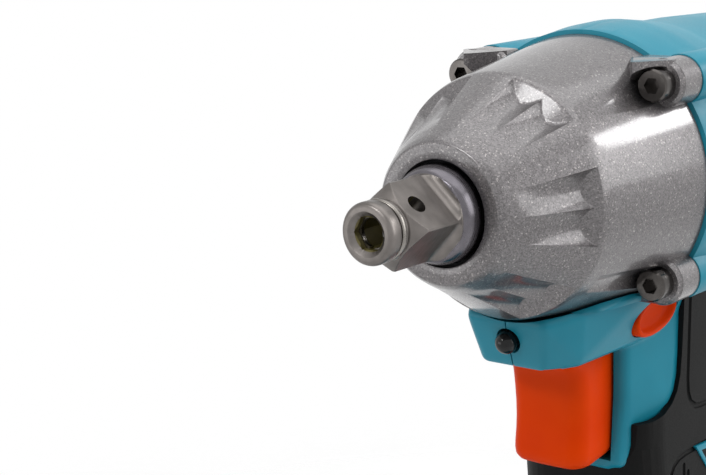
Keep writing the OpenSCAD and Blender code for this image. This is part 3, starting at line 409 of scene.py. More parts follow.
case = {
    # radii and stations of the outline, from the nose to the rear face
    "bore": 10.9, "noseFace": 23.4, "nose": 15.4, "rim": 1.1, "ridgeAt": 44.5, "ridge": 26.3,
    "ridgeSoft": 0.25, "rearAt": 78.2, "rear": 31.1,
    # inside: the bushing's seat, and the hollow for the hammer, which widens to the rear
    "bushing": 12.6, "bushingEnd": 40.2, "hollowAt": 46.2, "hollowFront": 24.1, "hollowRear": 27.2,
    # pockets: two flutes each, which deepen toward a steep rear wall
    "pockets": 6, "pocketTurn": 1.0, "flute": 9.0, "between": 0.24, "pocketFrom": 27.0,
    "pocketFull": 42.0, "pocketWall": 43.7, "wallSlope": 1.6, "pocketDepth": 3.0,
    # ears: x and height of each screw, its seat, the boss and the channel in front of the head
    "ears": [(24.1, 22.2), (-24.1, 22.2), (24.1, -20.4), (-24.1, -20.4)],
    "seat": 69.8, "ear": 5.25, "channel": 4.1, "channelMouth": 4.2, "screwHole": 2.05,
    # the roof over an upper ear's head, x and station
    "roof": [(20.4, 63.4), (21.2, 62.9), (26.4, 70.2), (26.4, 72), (15.8, 72)], "roofDepth": 4.0,
    "lines": 420,
}


def caseBase(back):
    # the smaller of the cone and the barrel, with the ridge between them eased
    c = case
    coneFrom = c["noseFace"] + 1
    cone = c["nose"] + (back - coneFrom) * (c["ridge"] - c["nose"]) / (c["ridgeAt"] - coneFrom)
    barrel = c["ridge"] + (back - c["ridgeAt"]) * (c["rear"] - c["ridge"]) / (c["rearAt"] - c["ridgeAt"])
    return (cone + barrel - math.hypot(cone - barrel, c["ridgeSoft"])) / 2


def pocketDepth(angle, back):
    c = case
    local = np.abs(folded(np.degrees(angle), c["pocketTurn"], 360 / c["pockets"]))
    across = (local - c["flute"]) / (c["flute"] + 0.3)
    profile = np.clip(1 - across ** 2, 0, 1) ** 0.75
    profile = np.where(local < c["flute"], c["between"] + (1 - c["between"]) * profile, profile)
    run = np.clip((back - c["pocketFrom"]) / (c["pocketFull"] - c["pocketFrom"]), 0, 1.1)
    wall = np.maximum(c["pocketWall"] - back, 0) * c["wallSlope"]
    return np.minimum(c["pocketDepth"] * profile * run ** 1.15, wall)


def roofPiece(side, top):
    # a thin wedge over the screw head: its front tip stands free of the barrel
    upper = [at(side * x, s, top) for x, s in case["roof"]]
    lower = [at(side * x, s, top - case["roofDepth"]) for x, s in case["roof"]]
    return prismBetween("roof", upper, lower, finishes["case_silver"])


def makeCase():
    c = case
    angles = [2 * math.pi * i / c["lines"] for i in range(c["lines"])]
    # more lines where the flutes turn
    for k in range(c["pockets"]):
        middle = 360 / c["pockets"] * k + c["pocketTurn"]
        for off in (-18.8, -18.3, -17.9, -17.4, -0.6, 0, 0.6, 17.4, 17.9, 18.3, 18.8):
            angles.append(math.radians(middle + off) % (2 * math.pi))
    angles = np.array(sorted(angles))
    # up the bushing's seat, out through the bore and round the nose
    face, lip = c["noseFace"], c["nose"] - c["rim"] - 0.3
    rings = [(c["bushing"], c["bushingEnd"]), (c["bushing"], 26.6), (c["bore"], 26.4),
             (c["bore"], face + 0.5), (c["bore"] + 0.15, face + 0.15), (c["bore"] + 0.5, face),
             (12.5, face), (lip, face)]
    for k in range(1, 6):
        turn = math.radians(90 - k * 12.5)
        rings.append((lip + c["rim"] * math.cos(turn), face + c["rim"] * (1 - math.sin(turn))))
    # rings stand closest at the pockets' rear walls and the ridge
    stops = [*np.arange(face + 1.2, 38, 0.5), *np.arange(38, 45.6, 0.16),
             *np.arange(46, c["rearAt"] - 0.4, 2.0), c["rearAt"] - 0.3, c["rearAt"]]
    for back in stops:
        radius = caseBase(back) - pocketDepth(angles, back)
        rings.append((radius - 0.25 * (back == c["rearAt"]), back))
    rings += [(29.0, c["rearAt"]), (c["hollowRear"], c["rearAt"] - 0.2), (c["hollowRear"], 77),
              (c["hollowFront"], c["hollowAt"]), (19.6, c["bushingEnd"])]
    piece = polarLoft("hammerCase", angles, rings, finishes["case_silver"], 28, closed=True)
    for x, z in c["ears"]:
        side, up = math.copysign(1, x), math.copysign(1, z)
        top = abs(z) + c["ear"] - 0.15
        # the boss behind the head with its lead, a web down to the barrel and a roof on the upper ears
        parts = [roundBar((x, c["seat"] + 1, z), (x, c["rearAt"], z), c["ear"], 64),
                 roundBar((x, c["seat"], z), (x, c["seat"] + 1.1, z), c["ear"] - 0.75, 64, c["ear"]),
                 wrapPoints("web", [(side * across, s, up * height, 1) for s in (70.8, 77.2)
                                    for across, height in ((17, top - 1), (abs(x) + 1, top - 1), (10, 12))],
                            finishes["case_silver"], False)]
        if up > 0:
            parts.append(roofPiece(side, top))
        for part in parts:
            cutWith(piece, part, "UNION")
        cutWith(piece, roundBar((x - 0.8 * side, 48, z - 1.4 * up), (x, c["seat"], z),
                                c["channelMouth"], 64, c["channel"]))
        cutWith(piece, roundBar((x, c["seat"] - 1, z), (x, c["rearAt"] + 2, z), c["screwHole"], 24))
    # clears what the ears left in the hollow
    cutWith(piece, roundBar((0, c["hollowAt"], 0), (0, c["rearAt"] + 1, 0), c["hollowFront"], 128,
                            c["hollowRear"] + 0.1))
    finishShading(piece, 30)
    print("hammer case:", len(piece.data.polygons), "faces")
    handIn(piece, "hammer_case")


makeCase()

anvil = {
    "flat": 6.35, "corner": 8.72, "turn": math.radians(47), "squareEnd": 17.6, "fillet": 1.8, "chord": 8.5,
    "chamferFrom": 5.7, "chamferRadius": 6.3, "chamferSlope": 1.06,
    "headRadius": 6.25, "hexFlat": 3.175, "socketDepth": 22.0,
    "collarAt": 19.5, "collar": 8.85, "swell": 10.3, "swellLength": 4.3, "shaft": 9.5,
    "lugAt": 41.1, "lugEnd": 48.1, "lugReach": 18.5, "lugHalf": 6.5, "rearBore": 4.05, "rearBoreEnd": 39.2,
    "crossHole": 2.0, "crossAt": 10.4, "crossReach": 13,
}


def anvilSquare(angles, back):
    a = anvil
    flat = np.minimum(a["flat"] / np.cos(folded(angles, a["turn"], math.pi / 2)), a["corner"])
    return np.minimum(flat, a["chamferRadius"] + max(back - a["chamferFrom"], 0) * a["chamferSlope"])


def makeAnvil():
    a = anvil
    angles = [math.radians(1.25 * i) for i in range(288)]
    # more lines at the square's corners and the socket's
    edge = math.pi / 4 - math.acos(a["flat"] / a["corner"])
    for k in range(4):
        corner = a["turn"] + math.pi / 4 + k * math.pi / 2
        angles += [(corner + side * edge * share) % (2 * math.pi)
                   for side in (-1, 1) for share in (0.4, 1.0)]
    for k in range(6):
        angles += [(math.radians(60 * k) + small) % (2 * math.pi) for small in (-0.012, 0.012)]
    angles = np.array(sorted(set(round(v, 5) for v in angles)))
    hexWall = a["hexFlat"] / np.cos(folded(angles, math.radians(30), math.pi / 3))
    # up the socket with its ball groove, over the head and into the groove behind it
    r = a["headRadius"]
    rings = [(hexWall * 0.02, a["socketDepth"]), (hexWall, a["socketDepth"]), (hexWall, 4.0),
             (hexWall, 3.7), (4.25, 3.6), (4.25, 2.5), (hexWall, 2.4), (hexWall, 1.6), (hexWall, 1.25),
             (np.maximum(hexWall, 3.5), 0.95), (np.maximum(hexWall, 4.1), 0.35), (4.35, 0.12),
             (4.5, 0.0), (r - 1.1, 0.0), (r - 0.75, 0.06), (r - 0.4, 0.25), (r - 0.15, 0.55),
             (r - 0.02, 0.95), (r, 1.3), (r, 2.9), (r - 0.08, 3.15), (r - 0.35, 3.38), (5.35, 3.5),
             (5.3, 3.6), (5.3, 5.0), (5.4, 5.1), (5.9, 5.15), (6.0, 5.3), (6.0, 5.6)]
    for back in [*np.arange(a["chamferFrom"], 8.3, 0.16), 8.6, 10, 12, 14, 16, a["squareEnd"]]:
        rings.append((anvilSquare(angles, back), back))
    # the flats and corners sweep out to the collar
    local = folded(angles, a["turn"], math.pi / 2)
    for k in range(1, 9):
        turn = math.radians(k * 11)
        away = a["flat"] + (a["chord"] - a["flat"]) * (1 - math.cos(turn))
        most = a["corner"] + (a["collar"] - a["corner"]) * (1 - math.cos(turn))
        rings.append((np.minimum(away / np.cos(local), most),
                      a["squareEnd"] + a["fillet"] * math.sin(turn)))
    # the collar swells toward the nose and drops back to the shaft's own radius inside it
    for k in range(7):
        turn = math.radians(k * 15)
        rings.append((a["collar"] + (a["swell"] - a["collar"]) * math.sin(turn),
                      a["collarAt"] + a["swellLength"] * (1 - math.cos(turn)) ** 0.8))
    lugs = np.minimum(a["lugReach"], a["lugHalf"] / np.maximum(np.abs(np.sin(angles)), 0.01))
    lugs = np.maximum(lugs, a["shaft"] + 1.5)
    rings += [(a["swell"], 24.6), (a["shaft"], 25.6), (a["shaft"], a["lugAt"]), (lugs, a["lugAt"]),
              (lugs, a["lugEnd"]), (a["rearBore"], a["lugEnd"]), (a["rearBore"], a["rearBoreEnd"]),
              (0.05, a["rearBoreEnd"])]
    piece = polarLoft("anvilFace", angles, rings, finishes["steel"], 24)
    # the hole goes through the flat whose face looks up and to the left
    x, z = a["crossReach"] * math.cos(a["turn"]), a["crossReach"] * math.sin(a["turn"])
    cutWith(piece, roundBar((-x, a["crossAt"], -z), (x, a["crossAt"], z), a["crossHole"], 40))
    finishShading(piece, 24)
    # the collar is ground bright, and the socket's walls are dark brown-green, painted shade in the recess
    piece.data.materials.append(finishes["groundCollar"])
    piece.data.materials.append(finishes["socketPaintedShade"])
    for face in piece.data.polygons:
        away = math.hypot(face.center.x, face.center.z - axisHeight) / mm
        back = (face.center.y - tipY) / mm
        if back > 19.4 and away > 8.6:
            face.material_index = 1
        # faces inside the socket take the painted shade
        elif away < 4.3 and 0.9 < back < 23:
            face.material_index = 2
    print("anvil:", len(piece.data.polygons), "faces")
    handIn(piece, "anvil")


makeAnvil()

springRing = {"inner": 5.32, "outer": 6.32, "middle": 4.3, "half": 0.62, "gap": 0.16, "turn": 5.1,
              "steps": 120, "sides": 16}


def makeFrictionRing():
    # a split spring ring with a rounded section, in the groove behind the head
    r = springRing
    section = []
    for k in range(r["sides"]):
        turn = 2 * math.pi * k / r["sides"]
        section.append(((r["outer"] + r["inner"]) / 2 + 0.5 * (r["outer"] - r["inner"]) * math.cos(turn),
                        r["middle"] + r["half"] * squared(math.sin(turn), 0.6)))
    vertices = []
    for i in range(r["steps"] + 1):
        angle = r["turn"] + r["gap"] + (2 * math.pi - 2 * r["gap"]) * i / r["steps"]
        vertices += [at(radius * math.cos(angle), back, radius * math.sin(angle))
                     for radius, back in section]
    faces = skinFaces(r["steps"] + 1, r["sides"])
    handIn(meshPiece("frictionRing", vertices, faces, finishes["spring_steel"], 60), "friction_ring")


makeFrictionRing()
print("friction ring made")

# the case screws' sizes, named as the tree's inputs are
screw = {"Head Radius": 3.5, "Head Height": 4.0, "Chamfer": 0.35, "Socket Radius": 1.85,
         "Socket Depth": 2.4, "Shank Radius": 2.0, "Shank Length": 24.0}


def screwTree():
    tree = bpy.data.node_groups.new("screwsOnPlaces", "GeometryNodeTree")
    side = tree.interface
    side.new_socket("Geometry", in_out="INPUT", socket_type="NodeSocketGeometry")
    for name in screw:
        side.new_socket(name, in_out="INPUT", socket_type="NodeSocketFloat")
    side.new_socket("Turn", in_out="INPUT", socket_type="NodeSocketVector")
    side.new_socket("Finish", in_out="INPUT", socket_type="NodeSocketMaterial")
    side.new_socket("Geometry", in_out="OUTPUT", socket_type="NodeSocketGeometry")
    given = tree.nodes.new("NodeGroupInput").outputs

    def lifted(geometry, height):
        place = addNode(tree, "ShaderNodeCombineXYZ", {"Z": height}).outputs[0]
        return addNode(tree, "GeometryNodeTransform",
                       {"Geometry": geometry, "Translation": place}).outputs[0]

    body = addNode(tree, "ShaderNodeMath", {0: given["Head Height"], 1: given["Chamfer"]},
                   operation="SUBTRACT").outputs[0]
    narrow = addNode(tree, "ShaderNodeMath", {0: given["Head Radius"], 1: given["Chamfer"]},
                     operation="SUBTRACT").outputs[0]
    halfBody = addNode(tree, "ShaderNodeMath", {0: body, 1: 2.0}, operation="DIVIDE").outputs[0]
    driveLength = addNode(tree, "ShaderNodeMath", {0: given["Socket Depth"], 1: 2.0},
                          operation="MULTIPLY").outputs[0]
    # the shank hangs from the seat, a hair below it
    sunk = addNode(tree, "ShaderNodeMath", {0: given["Shank Length"], 1: -2.0}, operation="DIVIDE")
    sunk = addNode(tree, "ShaderNodeMath", {0: sunk.outputs[0], 1: 0.05 * mm}, operation="SUBTRACT")

    drum = addNode(tree, "GeometryNodeMeshCylinder",
                   {"Vertices": 48, "Radius": given["Head Radius"], "Depth": body}, fill_type="NGON")
    crown = addNode(tree, "GeometryNodeMeshCone",
                    {"Vertices": 48, "Radius Bottom": given["Head Radius"], "Radius Top": narrow,
                     "Depth": given["Chamfer"]}, fill_type="NGON")
    head = addNode(tree, "GeometryNodeMeshBoolean", {"Mesh 2": lifted(drum.outputs["Mesh"], halfBody)},
                   operation="UNION", solver="EXACT")
    tree.links.new(lifted(crown.outputs["Mesh"], body), head.inputs["Mesh 2"])
    drive = addNode(tree, "GeometryNodeMeshCylinder",
                    {"Vertices": 6, "Radius": given["Socket Radius"], "Depth": driveLength},
                    fill_type="NGON")
    cut = addNode(tree, "GeometryNodeMeshBoolean",
                  {"Mesh 1": head.outputs["Mesh"],
                   "Mesh 2": lifted(drive.outputs["Mesh"], given["Head Height"])},
                  operation="DIFFERENCE", solver="EXACT")
    shank = addNode(tree, "GeometryNodeMeshCylinder",
                    {"Vertices": 24, "Radius": given["Shank Radius"], "Depth": given["Shank Length"]},
                    fill_type="NGON")
    whole = addNode(tree, "GeometryNodeJoinGeometry", {"Geometry": cut.outputs["Mesh"]})
    tree.links.new(lifted(shank.outputs["Mesh"], sunk.outputs[0]), whole.inputs["Geometry"])
    points = addNode(tree, "GeometryNodeMeshToPoints", {"Mesh": given["Geometry"]}).outputs["Points"]
    turn = addNode(tree, "FunctionNodeEulerToRotation", {"Euler": given["Turn"]}).outputs[0]
    placed = addNode(tree, "GeometryNodeInstanceOnPoints",
                     {"Points": points, "Instance": whole.outputs[0], "Rotation": turn})
    real = addNode(tree, "GeometryNodeRealizeInstances", {"Geometry": placed.outputs["Instances"]})
    done = addNode(tree, "GeometryNodeSetMaterial",
                   {"Geometry": real.outputs["Geometry"], "Material": given["Finish"]})
    addNode(tree, "NodeGroupOutput", {0: done.outputs["Geometry"]})
    return tree


def makeScrews():
    # places become loose points that the tree turns into solid screws
    places = [at(x, case["seat"], z) for x, z in case["ears"]]
    mesh = bpy.data.meshes.new("caseScrews")
    mesh.from_pydata([tuple(p) for p in places], [], [])
    piece = addObject("caseScrews", mesh)
    step = piece.modifiers.new("tree", "NODES")
    step.node_group = screwTree()
    sockets = {s.name: s.identifier for s in step.node_group.interface.items_tree
               if s.in_out == "INPUT"}
    for key, size in screw.items():
        step[sockets[key]] = size * mm
    step[sockets["Turn"]] = (math.pi / 2, 0, 0)
    step[sockets["Finish"]] = finishes["dark_steel"]
    applyModifiers(piece)
    finishShading(piece, 30)
    print("case screws:", len(places))
    handIn(piece, "case_screws")


makeScrews()

trigger = {
    "halfWidth": 9.5, "round": 3.8, "top": -38.9, "low": -65.2, "front": 61.2, "rear": 78.6, "bow": 0.5,
    # share of the height from the top, and how far the front stands behind its foremost point
    "hollow": [(0.0, -2.6), (0.02, -1.9), (0.05, -0.9), (0.09, -0.2), (0.14, 0.2), (0.2, 0.5),
               (0.32, 0.95), (0.45, 1.3), (0.58, 1.4), (0.7, 1.2), (0.8, 0.8), (0.87, 0.7), (0.92, 1.0),
               (0.955, 1.6), (0.98, 2.6), (0.994, 3.9), (1.0, 5.6)],
    # how much the underside rises, the share it starts at, and the stations it grows between
    "lift": 3.0, "liftShare": 0.6, "liftFrom": 62, "liftTo": 74,
    "plunger": 3, "plungerAt": -52, "plungerFrom": 77,
}


def triggerRow(share, back):
    # one level line round the trigger
    g = trigger
    height = g["top"] + (g["low"] - g["top"]) * share
    lift = g["lift"] * max(share - g["liftShare"], 0) / (1 - g["liftShare"])
    y, rear, r = g["front"] + back, g["rear"], g["round"]
    w = g["halfWidth"] - 0.7 * max(share - 0.93, 0) / 0.07
    row = [(-w + r - r * math.cos(math.pi / 2 * k / 10), y + r - r * math.sin(math.pi / 2 * k / 10))
           for k in range(11)]
    row = [(x, s - g["bow"] * max(1 - (x / w) ** 2, 0)) for x, s in row]
    row += [(x, y - g["bow"] * (1 - (x / w) ** 2)) for x in np.linspace(-w + r, w - r, 9)[1:-1]]
    row += [(-x, s) for x, s in reversed(row[:11])]
    row += [(w, rear - 0.5), (w - 0.5, rear), (0.5 - w, rear), (-w, rear - 0.5)]
    grow = [min(max((s - g["liftFrom"]) / (g["liftTo"] - g["liftFrom"]), 0), 1) for x, s in row]
    return [at(x, s, height + lift * part) for (x, s), part in zip(row, grow)]


def makeTrigger():
    g = trigger
    rows = [triggerRow(share, back) for share, back in g["hollow"]]
    piece = meshPiece("triggerShell", [p for row in rows for p in row],
                      skinFaces(len(rows), len(rows[0])), finishes["red_plastic"], 50)
    softEdges(piece, 0.7, 3, 55)
    finishShading(piece, 50)
    rodEnd = (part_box("trigger")[1].y - tipY) / mm
    rod = roundBar((0, g["plungerFrom"], g["plungerAt"]), (0, rodEnd, g["plungerAt"]), g["plunger"], 32)
    rod.name = rod.data.name = "triggerPlunger"
    finishShading(rod)
    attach(rod, bodyOf["trigger"])
    handIn(piece, "trigger")


makeTrigger()
print("trigger made")

# the front of the housing in one moulding: each part is the skin round balls, which are given as
# x, back, height and radius
block = {
    "chin": [(8.5, 48.8, -27.5, 2.2), (6.8, 51.4, -36.4, 2.2), (12.6, 55.8, -26, 2.2),
             (11.5, 56.7, -35.7, 2.2), (18, 74, -23, 2.2), (13.4, 72, -34.9, 2.2), (18.5, 91, -22, 2.2),
             (14.2, 92, -34.9, 2.2)],
    "panel": [(11.6, 77, -30, 2), (15.5, 92, -30, 2), (15.5, 95, -30, 2), (15.5, 95, -56, 2),
              (15.2, 88, -56, 2), (11.6, 77, -56, 2)],
    "cheek": [(11.5, 77.0, -49, 2), (12.4, 81, -49, 2), (11.5, 77, -61.2, 2), (12, 80, -60.6, 2),
              (10.9, 75.8, -64.6, 2), (11.4, 78, -63.8, 2)],
    "sill": [(8.8, 75.2, -65.8, 1.3), (8.8, 80, -65.6, 1.3), (11.1, 75.6, -63.8, 1.5)],
    "slotHalf": 10.0, "slotTop": -37.6, "slotFloor": -64.5, "slotRear": 86.5,
    "roomHalf": 12.5, "roomFloor": -54, "rearCut": 93.0,
    "jointHalf": 0.14, "jointEnd": 50.2, "grain": 0.45, "easing": 6,
}
lamp = {"at": (46.6, -32.3), "tilt": 22.0, "bore": 2.95, "flare": (4.6, 2.3), "radius": 2.5,
        "seat": 0.6, "sides": 48}
button = {"at": (80.4, -30.5), "long": 8.9, "wide": 4.4, "lean": 8.0, "face": 18.2, "dish": 1.9,
          "clearance": 0.25, "sides": 72}


def ovalRing(x, grow):
    # one oval of the button's outline, across the tool at x
    s, z = button["at"]
    lean = math.radians(button["lean"])
    ring = []
    for k in range(button["sides"]):
        turn = 2 * math.pi * k / button["sides"]
        a = (button["long"] + grow) * squared(math.cos(turn), 0.9)
        b = (button["wide"] + grow) * squared(math.sin(turn), 0.9)
        ring.append(at(x, s + a * math.cos(lean) - b * math.sin(lean),
                       z + a * math.sin(lean) + b * math.cos(lean)))
    return ring


def ovalPiece(name, rings, material, smoothAngle=35):
    # rings are given as x and how much the oval grows there
    points = [p for x, grow in rings for p in ovalRing(x, grow)]
    return meshPiece(name, points, skinFaces(len(rings), button["sides"]), material, smoothAngle)


def makeButton():
    # a bar through the housing with a dished oval pad at each end
    face, dish = button["face"], button["dish"]
    half = [(face - 1.6, 0), (face - 0.7, -0.02), (face - 0.25, -0.2), (face, -0.65), (face - 0.1, -0.95),
            (face - 0.6, -1.3), (face - 1.2, -1.75), (face - 0.9 * dish, -2.4), (face - dish, -3.6)]
    rings = [(-x, grow) for x, grow in reversed(half)] + half
    handIn(ovalPiece("directionButton", rings, finishes["red_plastic"], 60), "direction_button")


def lampPoint(away):
    # a point on the lamp's axis, so many millimetres into the moulding
    tilt = math.radians(lamp["tilt"])
    s, z = lamp["at"]
    return 0, s + away * math.cos(tilt), z + away * math.sin(tilt)


def makeBlock():
    b = block
    parts = [wrapPoints(part, b[part], finishes["teal_plastic"])
             for part in ("chin", "panel", "cheek", "sill")]
    piece = meltTogether(parts, b["grain"], b["easing"])
    piece.name = piece.data.name = "frontBlock"
    cutWith(piece, boxPiece((-b["slotHalf"], 50, b["slotFloor"]),
                            (b["slotHalf"], b["slotRear"], b["slotTop"])))
    # room for the plunger behind the slot, for the hammer case and for the barrel
    cutWith(piece, boxPiece((-b["roomHalf"], b["slotRear"] - 0.5, b["roomFloor"]),
                            (b["roomHalf"], 100, b["slotTop"])))
    cutWith(piece, roundBar((0, 40, 0), (0, case["rearAt"], 0), case["ridge"] + 0.1, 128,
                            case["rear"] + 0.75))
    cutWith(piece, roundBar((0, case["rearAt"] - 0.1, 0), (0, 100, 0), 30.5, 96))
    cutWith(piece, roundBar(lampPoint(-3), lampPoint(6), lamp["bore"], 48))
    wide, narrow = lamp["flare"]
    cutWith(piece, roundBar(lampPoint(-1.6), lampPoint(2.4), wide, 48, narrow))
    grow = button["clearance"]
    cutWith(piece, ovalPiece("cutter", [(-25, grow), (25, grow)], finishes["black_plastic"]))
    # the joint of the two halves
    cutWith(piece, boxPiece((-b["jointHalf"], 40, -45), (b["jointHalf"], b["jointEnd"], -20)))
    finishShading(piece, 30)
    print("front block:", len(piece.data.polygons), "faces")
    return piece


def makeLamp():
    # a small dome seated in the flared hole, coloured near black as painted shade for the hollow under the
    # clear acrylic
    radius, sides = lamp["radius"], lamp["sides"]
    tilt = math.radians(lamp["tilt"])
    turn = Vector((0, -math.cos(tilt), -math.sin(tilt))).to_track_quat("Z", "Y").to_matrix()
    seat = at(*lampPoint(lamp["seat"]))
    rings = [(radius, -2.6), (radius, -0.2)]
    rings += [(radius * math.cos(math.radians(a)), radius * math.sin(math.radians(a)))
              for a in range(8, 89, 8)]
    vertices = [seat + turn @ Vector((r * mm * math.cos(2 * math.pi * k / sides),
                                      r * mm * math.sin(2 * math.pi * k / sides), h * mm))
                for r, h in rings for k in range(sides)]
    faces = skinFaces(len(rings), sides)
    handIn(meshPiece("lampDome", vertices, faces, finishes["clear_lens"], 50), "led_lens")


frontBlock = makeBlock()
makeButton()
makeLamp()
print("button and lamp made")

grip = {
    "skin": 1.5, "frontRound": 9, "backRound": 13, "sides": 64,
    # slices: half width, front, back, height
    "upper": [(17.5, 73.5, 131.5, -24), (16.5, 75.5, 119.5, -62)],
    "lower": [(16.5, 75.5, 119.5, -61), (17.5, 81.5, 125.5, -111)],
    # the rubber's border beside the moulding, back and height
    "border": [(91.2, -20), (91.2, -34), (91.0, -42), (90.6, -47), (89.4, -50.6), (87.2, -53),
               (84, -54.6), (80, -55.6), (76.8, -56), (76.8, -61), (76.2, -63.6), (75.0, -65.2),
               (55, -65.4), (55, -109.5), (150, -109.5), (150, -20)],
    # lines pressed into the rubber: a loop, the pad's edge and the slits, back and height
    "groove": [(94.0, -25), (94.1, -36), (94.3, -49), (94.8, -52.4), (96.2, -55), (98.8, -56.6),
               (102, -57), (108, -57), (111.4, -55.6), (113.2, -52.4), (114.2, -36), (115, -25)],
    "padGroove": [(88.6, -101), (87.0, -97), (86.6, -73), (87.1, -70.4), (88.6, -68.4), (91, -67.3),
                  (94.2, -66.9), (106, -66.9)],
    "slits": [[(93.3 + 2.0 * k, -69.6 - 2.2 * k), (93.3 + 2.0 * k, -98)] for k in range(6)],
    "line": 0.7, "slotFloor": -66.2, "housingRoom": 31.4,
    "screwHoles": [(121, -38), (86, -72), (88.5, -99)], "screwHole": 3.5,
    # the raised frame: its corners, how far it stands out and goes in, and its opening
    "frame": [(98.6, -66.5), (109, -67.2), (118, -78), (107.6, -77.3)],
    "frameOut": 0.35, "frameIn": 0.6, "frameOpening": 0.72,
}


def gripForm(grow):
    g = grip
    parts = []
    for slices in (g["upper"], g["lower"]):
        points = []
        for half, front, back, height in slices:
            for x, s, r in ((half - g["frontRound"], front + g["frontRound"], g["frontRound"] + grow),
                            (half - g["backRound"], back - g["backRound"], g["backRound"] + grow)):
                for k in range(g["sides"]):
                    turn = 2 * math.pi * k / g["sides"]
                    points += [at(side * x + r * math.cos(turn), s + r * math.sin(turn), height)
                               for side in (-1, 1)]
        parts.append(wrapped("gripForm", points, finishes["grip_rubber"]))
    return cutWith(parts[0], parts[1], "UNION")


def tubeAlong(path, radius):
    # a round cutter that follows points given as x, back, height
    parts = [wrapPoints("cutter", [(*first, radius), (*second, radius)], finishes["black_plastic"], False)
             for first, second in zip(path, path[1:])]
    for other in parts[1:]:
        cutWith(parts[0], other, "UNION")
    return parts[0]


def surfaceX(form, s, z, side):
    # where a level line from the side meets the form
    hit, place = form.ray_cast(at(side * 60, s, z), Vector((-side, 0, 0)))[:2]
    return place.x / mm if hit else side * 17


def halfSpan(side):
    # from the middle plane to well outside the tool on one side
    return (0, 40) if side > 0 else (-40, 0)


def makeGrip(name, nodeName, side):
    g = grip
    form, outer = gripForm(g["skin"]), gripForm(g["skin"])
    lines = [[(surfaceX(outer, s, z, side), s, z) for s, z in line]
             for line in [g["groove"], g["padGroove"], *g["slits"]]]
    bpy.data.objects.remove(outer)
    cutWith(form, sidePrism(g["border"], *halfSpan(side)), "INTERSECT")
    for line in lines:
        cutWith(form, tubeAlong(line, g["line"]))
    cutWith(form, gripForm(0.02))
    cutWith(form, roundBar((0, 70, 0), (0, 160, 0), g["housingRoom"], 128))
    cutWith(form, boxPiece((-block["slotHalf"], 50, g["slotFloor"]),
                           (block["slotHalf"], block["slotRear"], block["slotTop"])))
    for s, z in (g["screwHoles"] if side < 0 else ()):
        cutWith(form, roundBar((-40, s, z), (0, s, z), g["screwHole"], 40))
    softEdges(form, 0.4, 3, 45)
    finishShading(form, 40)
    form.name = form.data.name = name
    print(name + ":", len(form.data.polygons), "faces")
    handIn(form, nodeName)


def makeFrame(name, nodeName, side):
    # a thin raised frame on the grip's side
    g = grip
    corners = [Vector(p) for p in g["frame"]]
    middle = sum(corners, Vector((0, 0))) / 4
    inner = [tuple(middle + (p - middle) * g["frameOpening"]) for p in corners]
    form = gripForm(g["skin"] + g["frameOut"])
    cutWith(form, sidePrism(g["frame"], *halfSpan(side)), "INTERSECT")
    cutWith(form, sidePrism(inner, *halfSpan(side)))
    cutWith(form, gripForm(g["skin"] - g["frameIn"]))
    form.data.materials.clear()
    form.data.materials.append(finishes["teal_plastic"])
    softEdges(form, 0.2, 2, 45)
    finishShading(form, 40)
    form.name = form.data.name = name
    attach(form, bodyOf[nodeName])


for shellName, frameName, nodeName, side in (("gripLeft", "frameLeft", "grip_left", 1),
                                             ("gripRight", "frameRight", "grip_right", -1)):
    makeGrip(shellName, nodeName, side)
    makeFrame(frameName, nodeName, side)

# shells taken from their solids: the piece's name, the width of its edges and their steps
rounded = {
    "housing_left": ("housingLeft", 0.45, 2), "housing_right": ("housingRight", 0.45, 2),
    "battery_top_shell": ("batteryTop", 0.6, 3), "battery_bottom_shell": ("batteryBottom", 0.9, 3),
    "battery_latch": ("batteryLatch", 0.5, 3),
}
for nodeName, (pieceName, width, segments) in rounded.items():
    shell = copyOfNode(nodeName, pieceName, finishes[slotOf[nodeName]])
    if nodeName.startswith("housing"):
        cutWith(shell, boxPiece((-40, 30, -67), (40, block["rearCut"], -25)))
    softEdges(shell, width, segments, 35)
    finishShading(shell, 35)
    handIn(shell, nodeName)
    print(pieceName + ":", len(shell.data.polygons), "faces")
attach(frontBlock, bodyOf["housing_left"])

studio = {
    "aim": (0, -0.03, 0.2), "below": 0.08, "above": 0.66,
    # direction from the aim, distance, width, height and glow, 1 being white
    "softboxes": {
        "stripSoftbox": ((0.555, 0.69, 0.455), 1.1, 0.2, 0.19, 15.0),
        "keySoftbox": ((-0.16, -0.8, 0.57), 1.0, 0.36, 0.15, 15.0),
        "lowSoftbox": ((-0.62, -0.76, -0.02), 1.0, 0.6, 0.3, 1.8),
        "topSoftbox": ((0.1, 0.1, 1), 0.95, 1.2, 1.2, 1.3),
        "sideSoftbox": ((1, 0.45, 0.4), 1.2, 0.9, 0.8, 2.5),
    },
    "floorReach": 0.5, "floorRings": 12, "floorSides": 96, "fadeFrom": 0.27, "fadeTo": 0.45,
    "place": (0.1982, -0.3432, 0.2718), "turn": 39.05, "rise": 11.95, "roll": -1.62,
    "lens": 87.55, "sensor": 36.0,
}


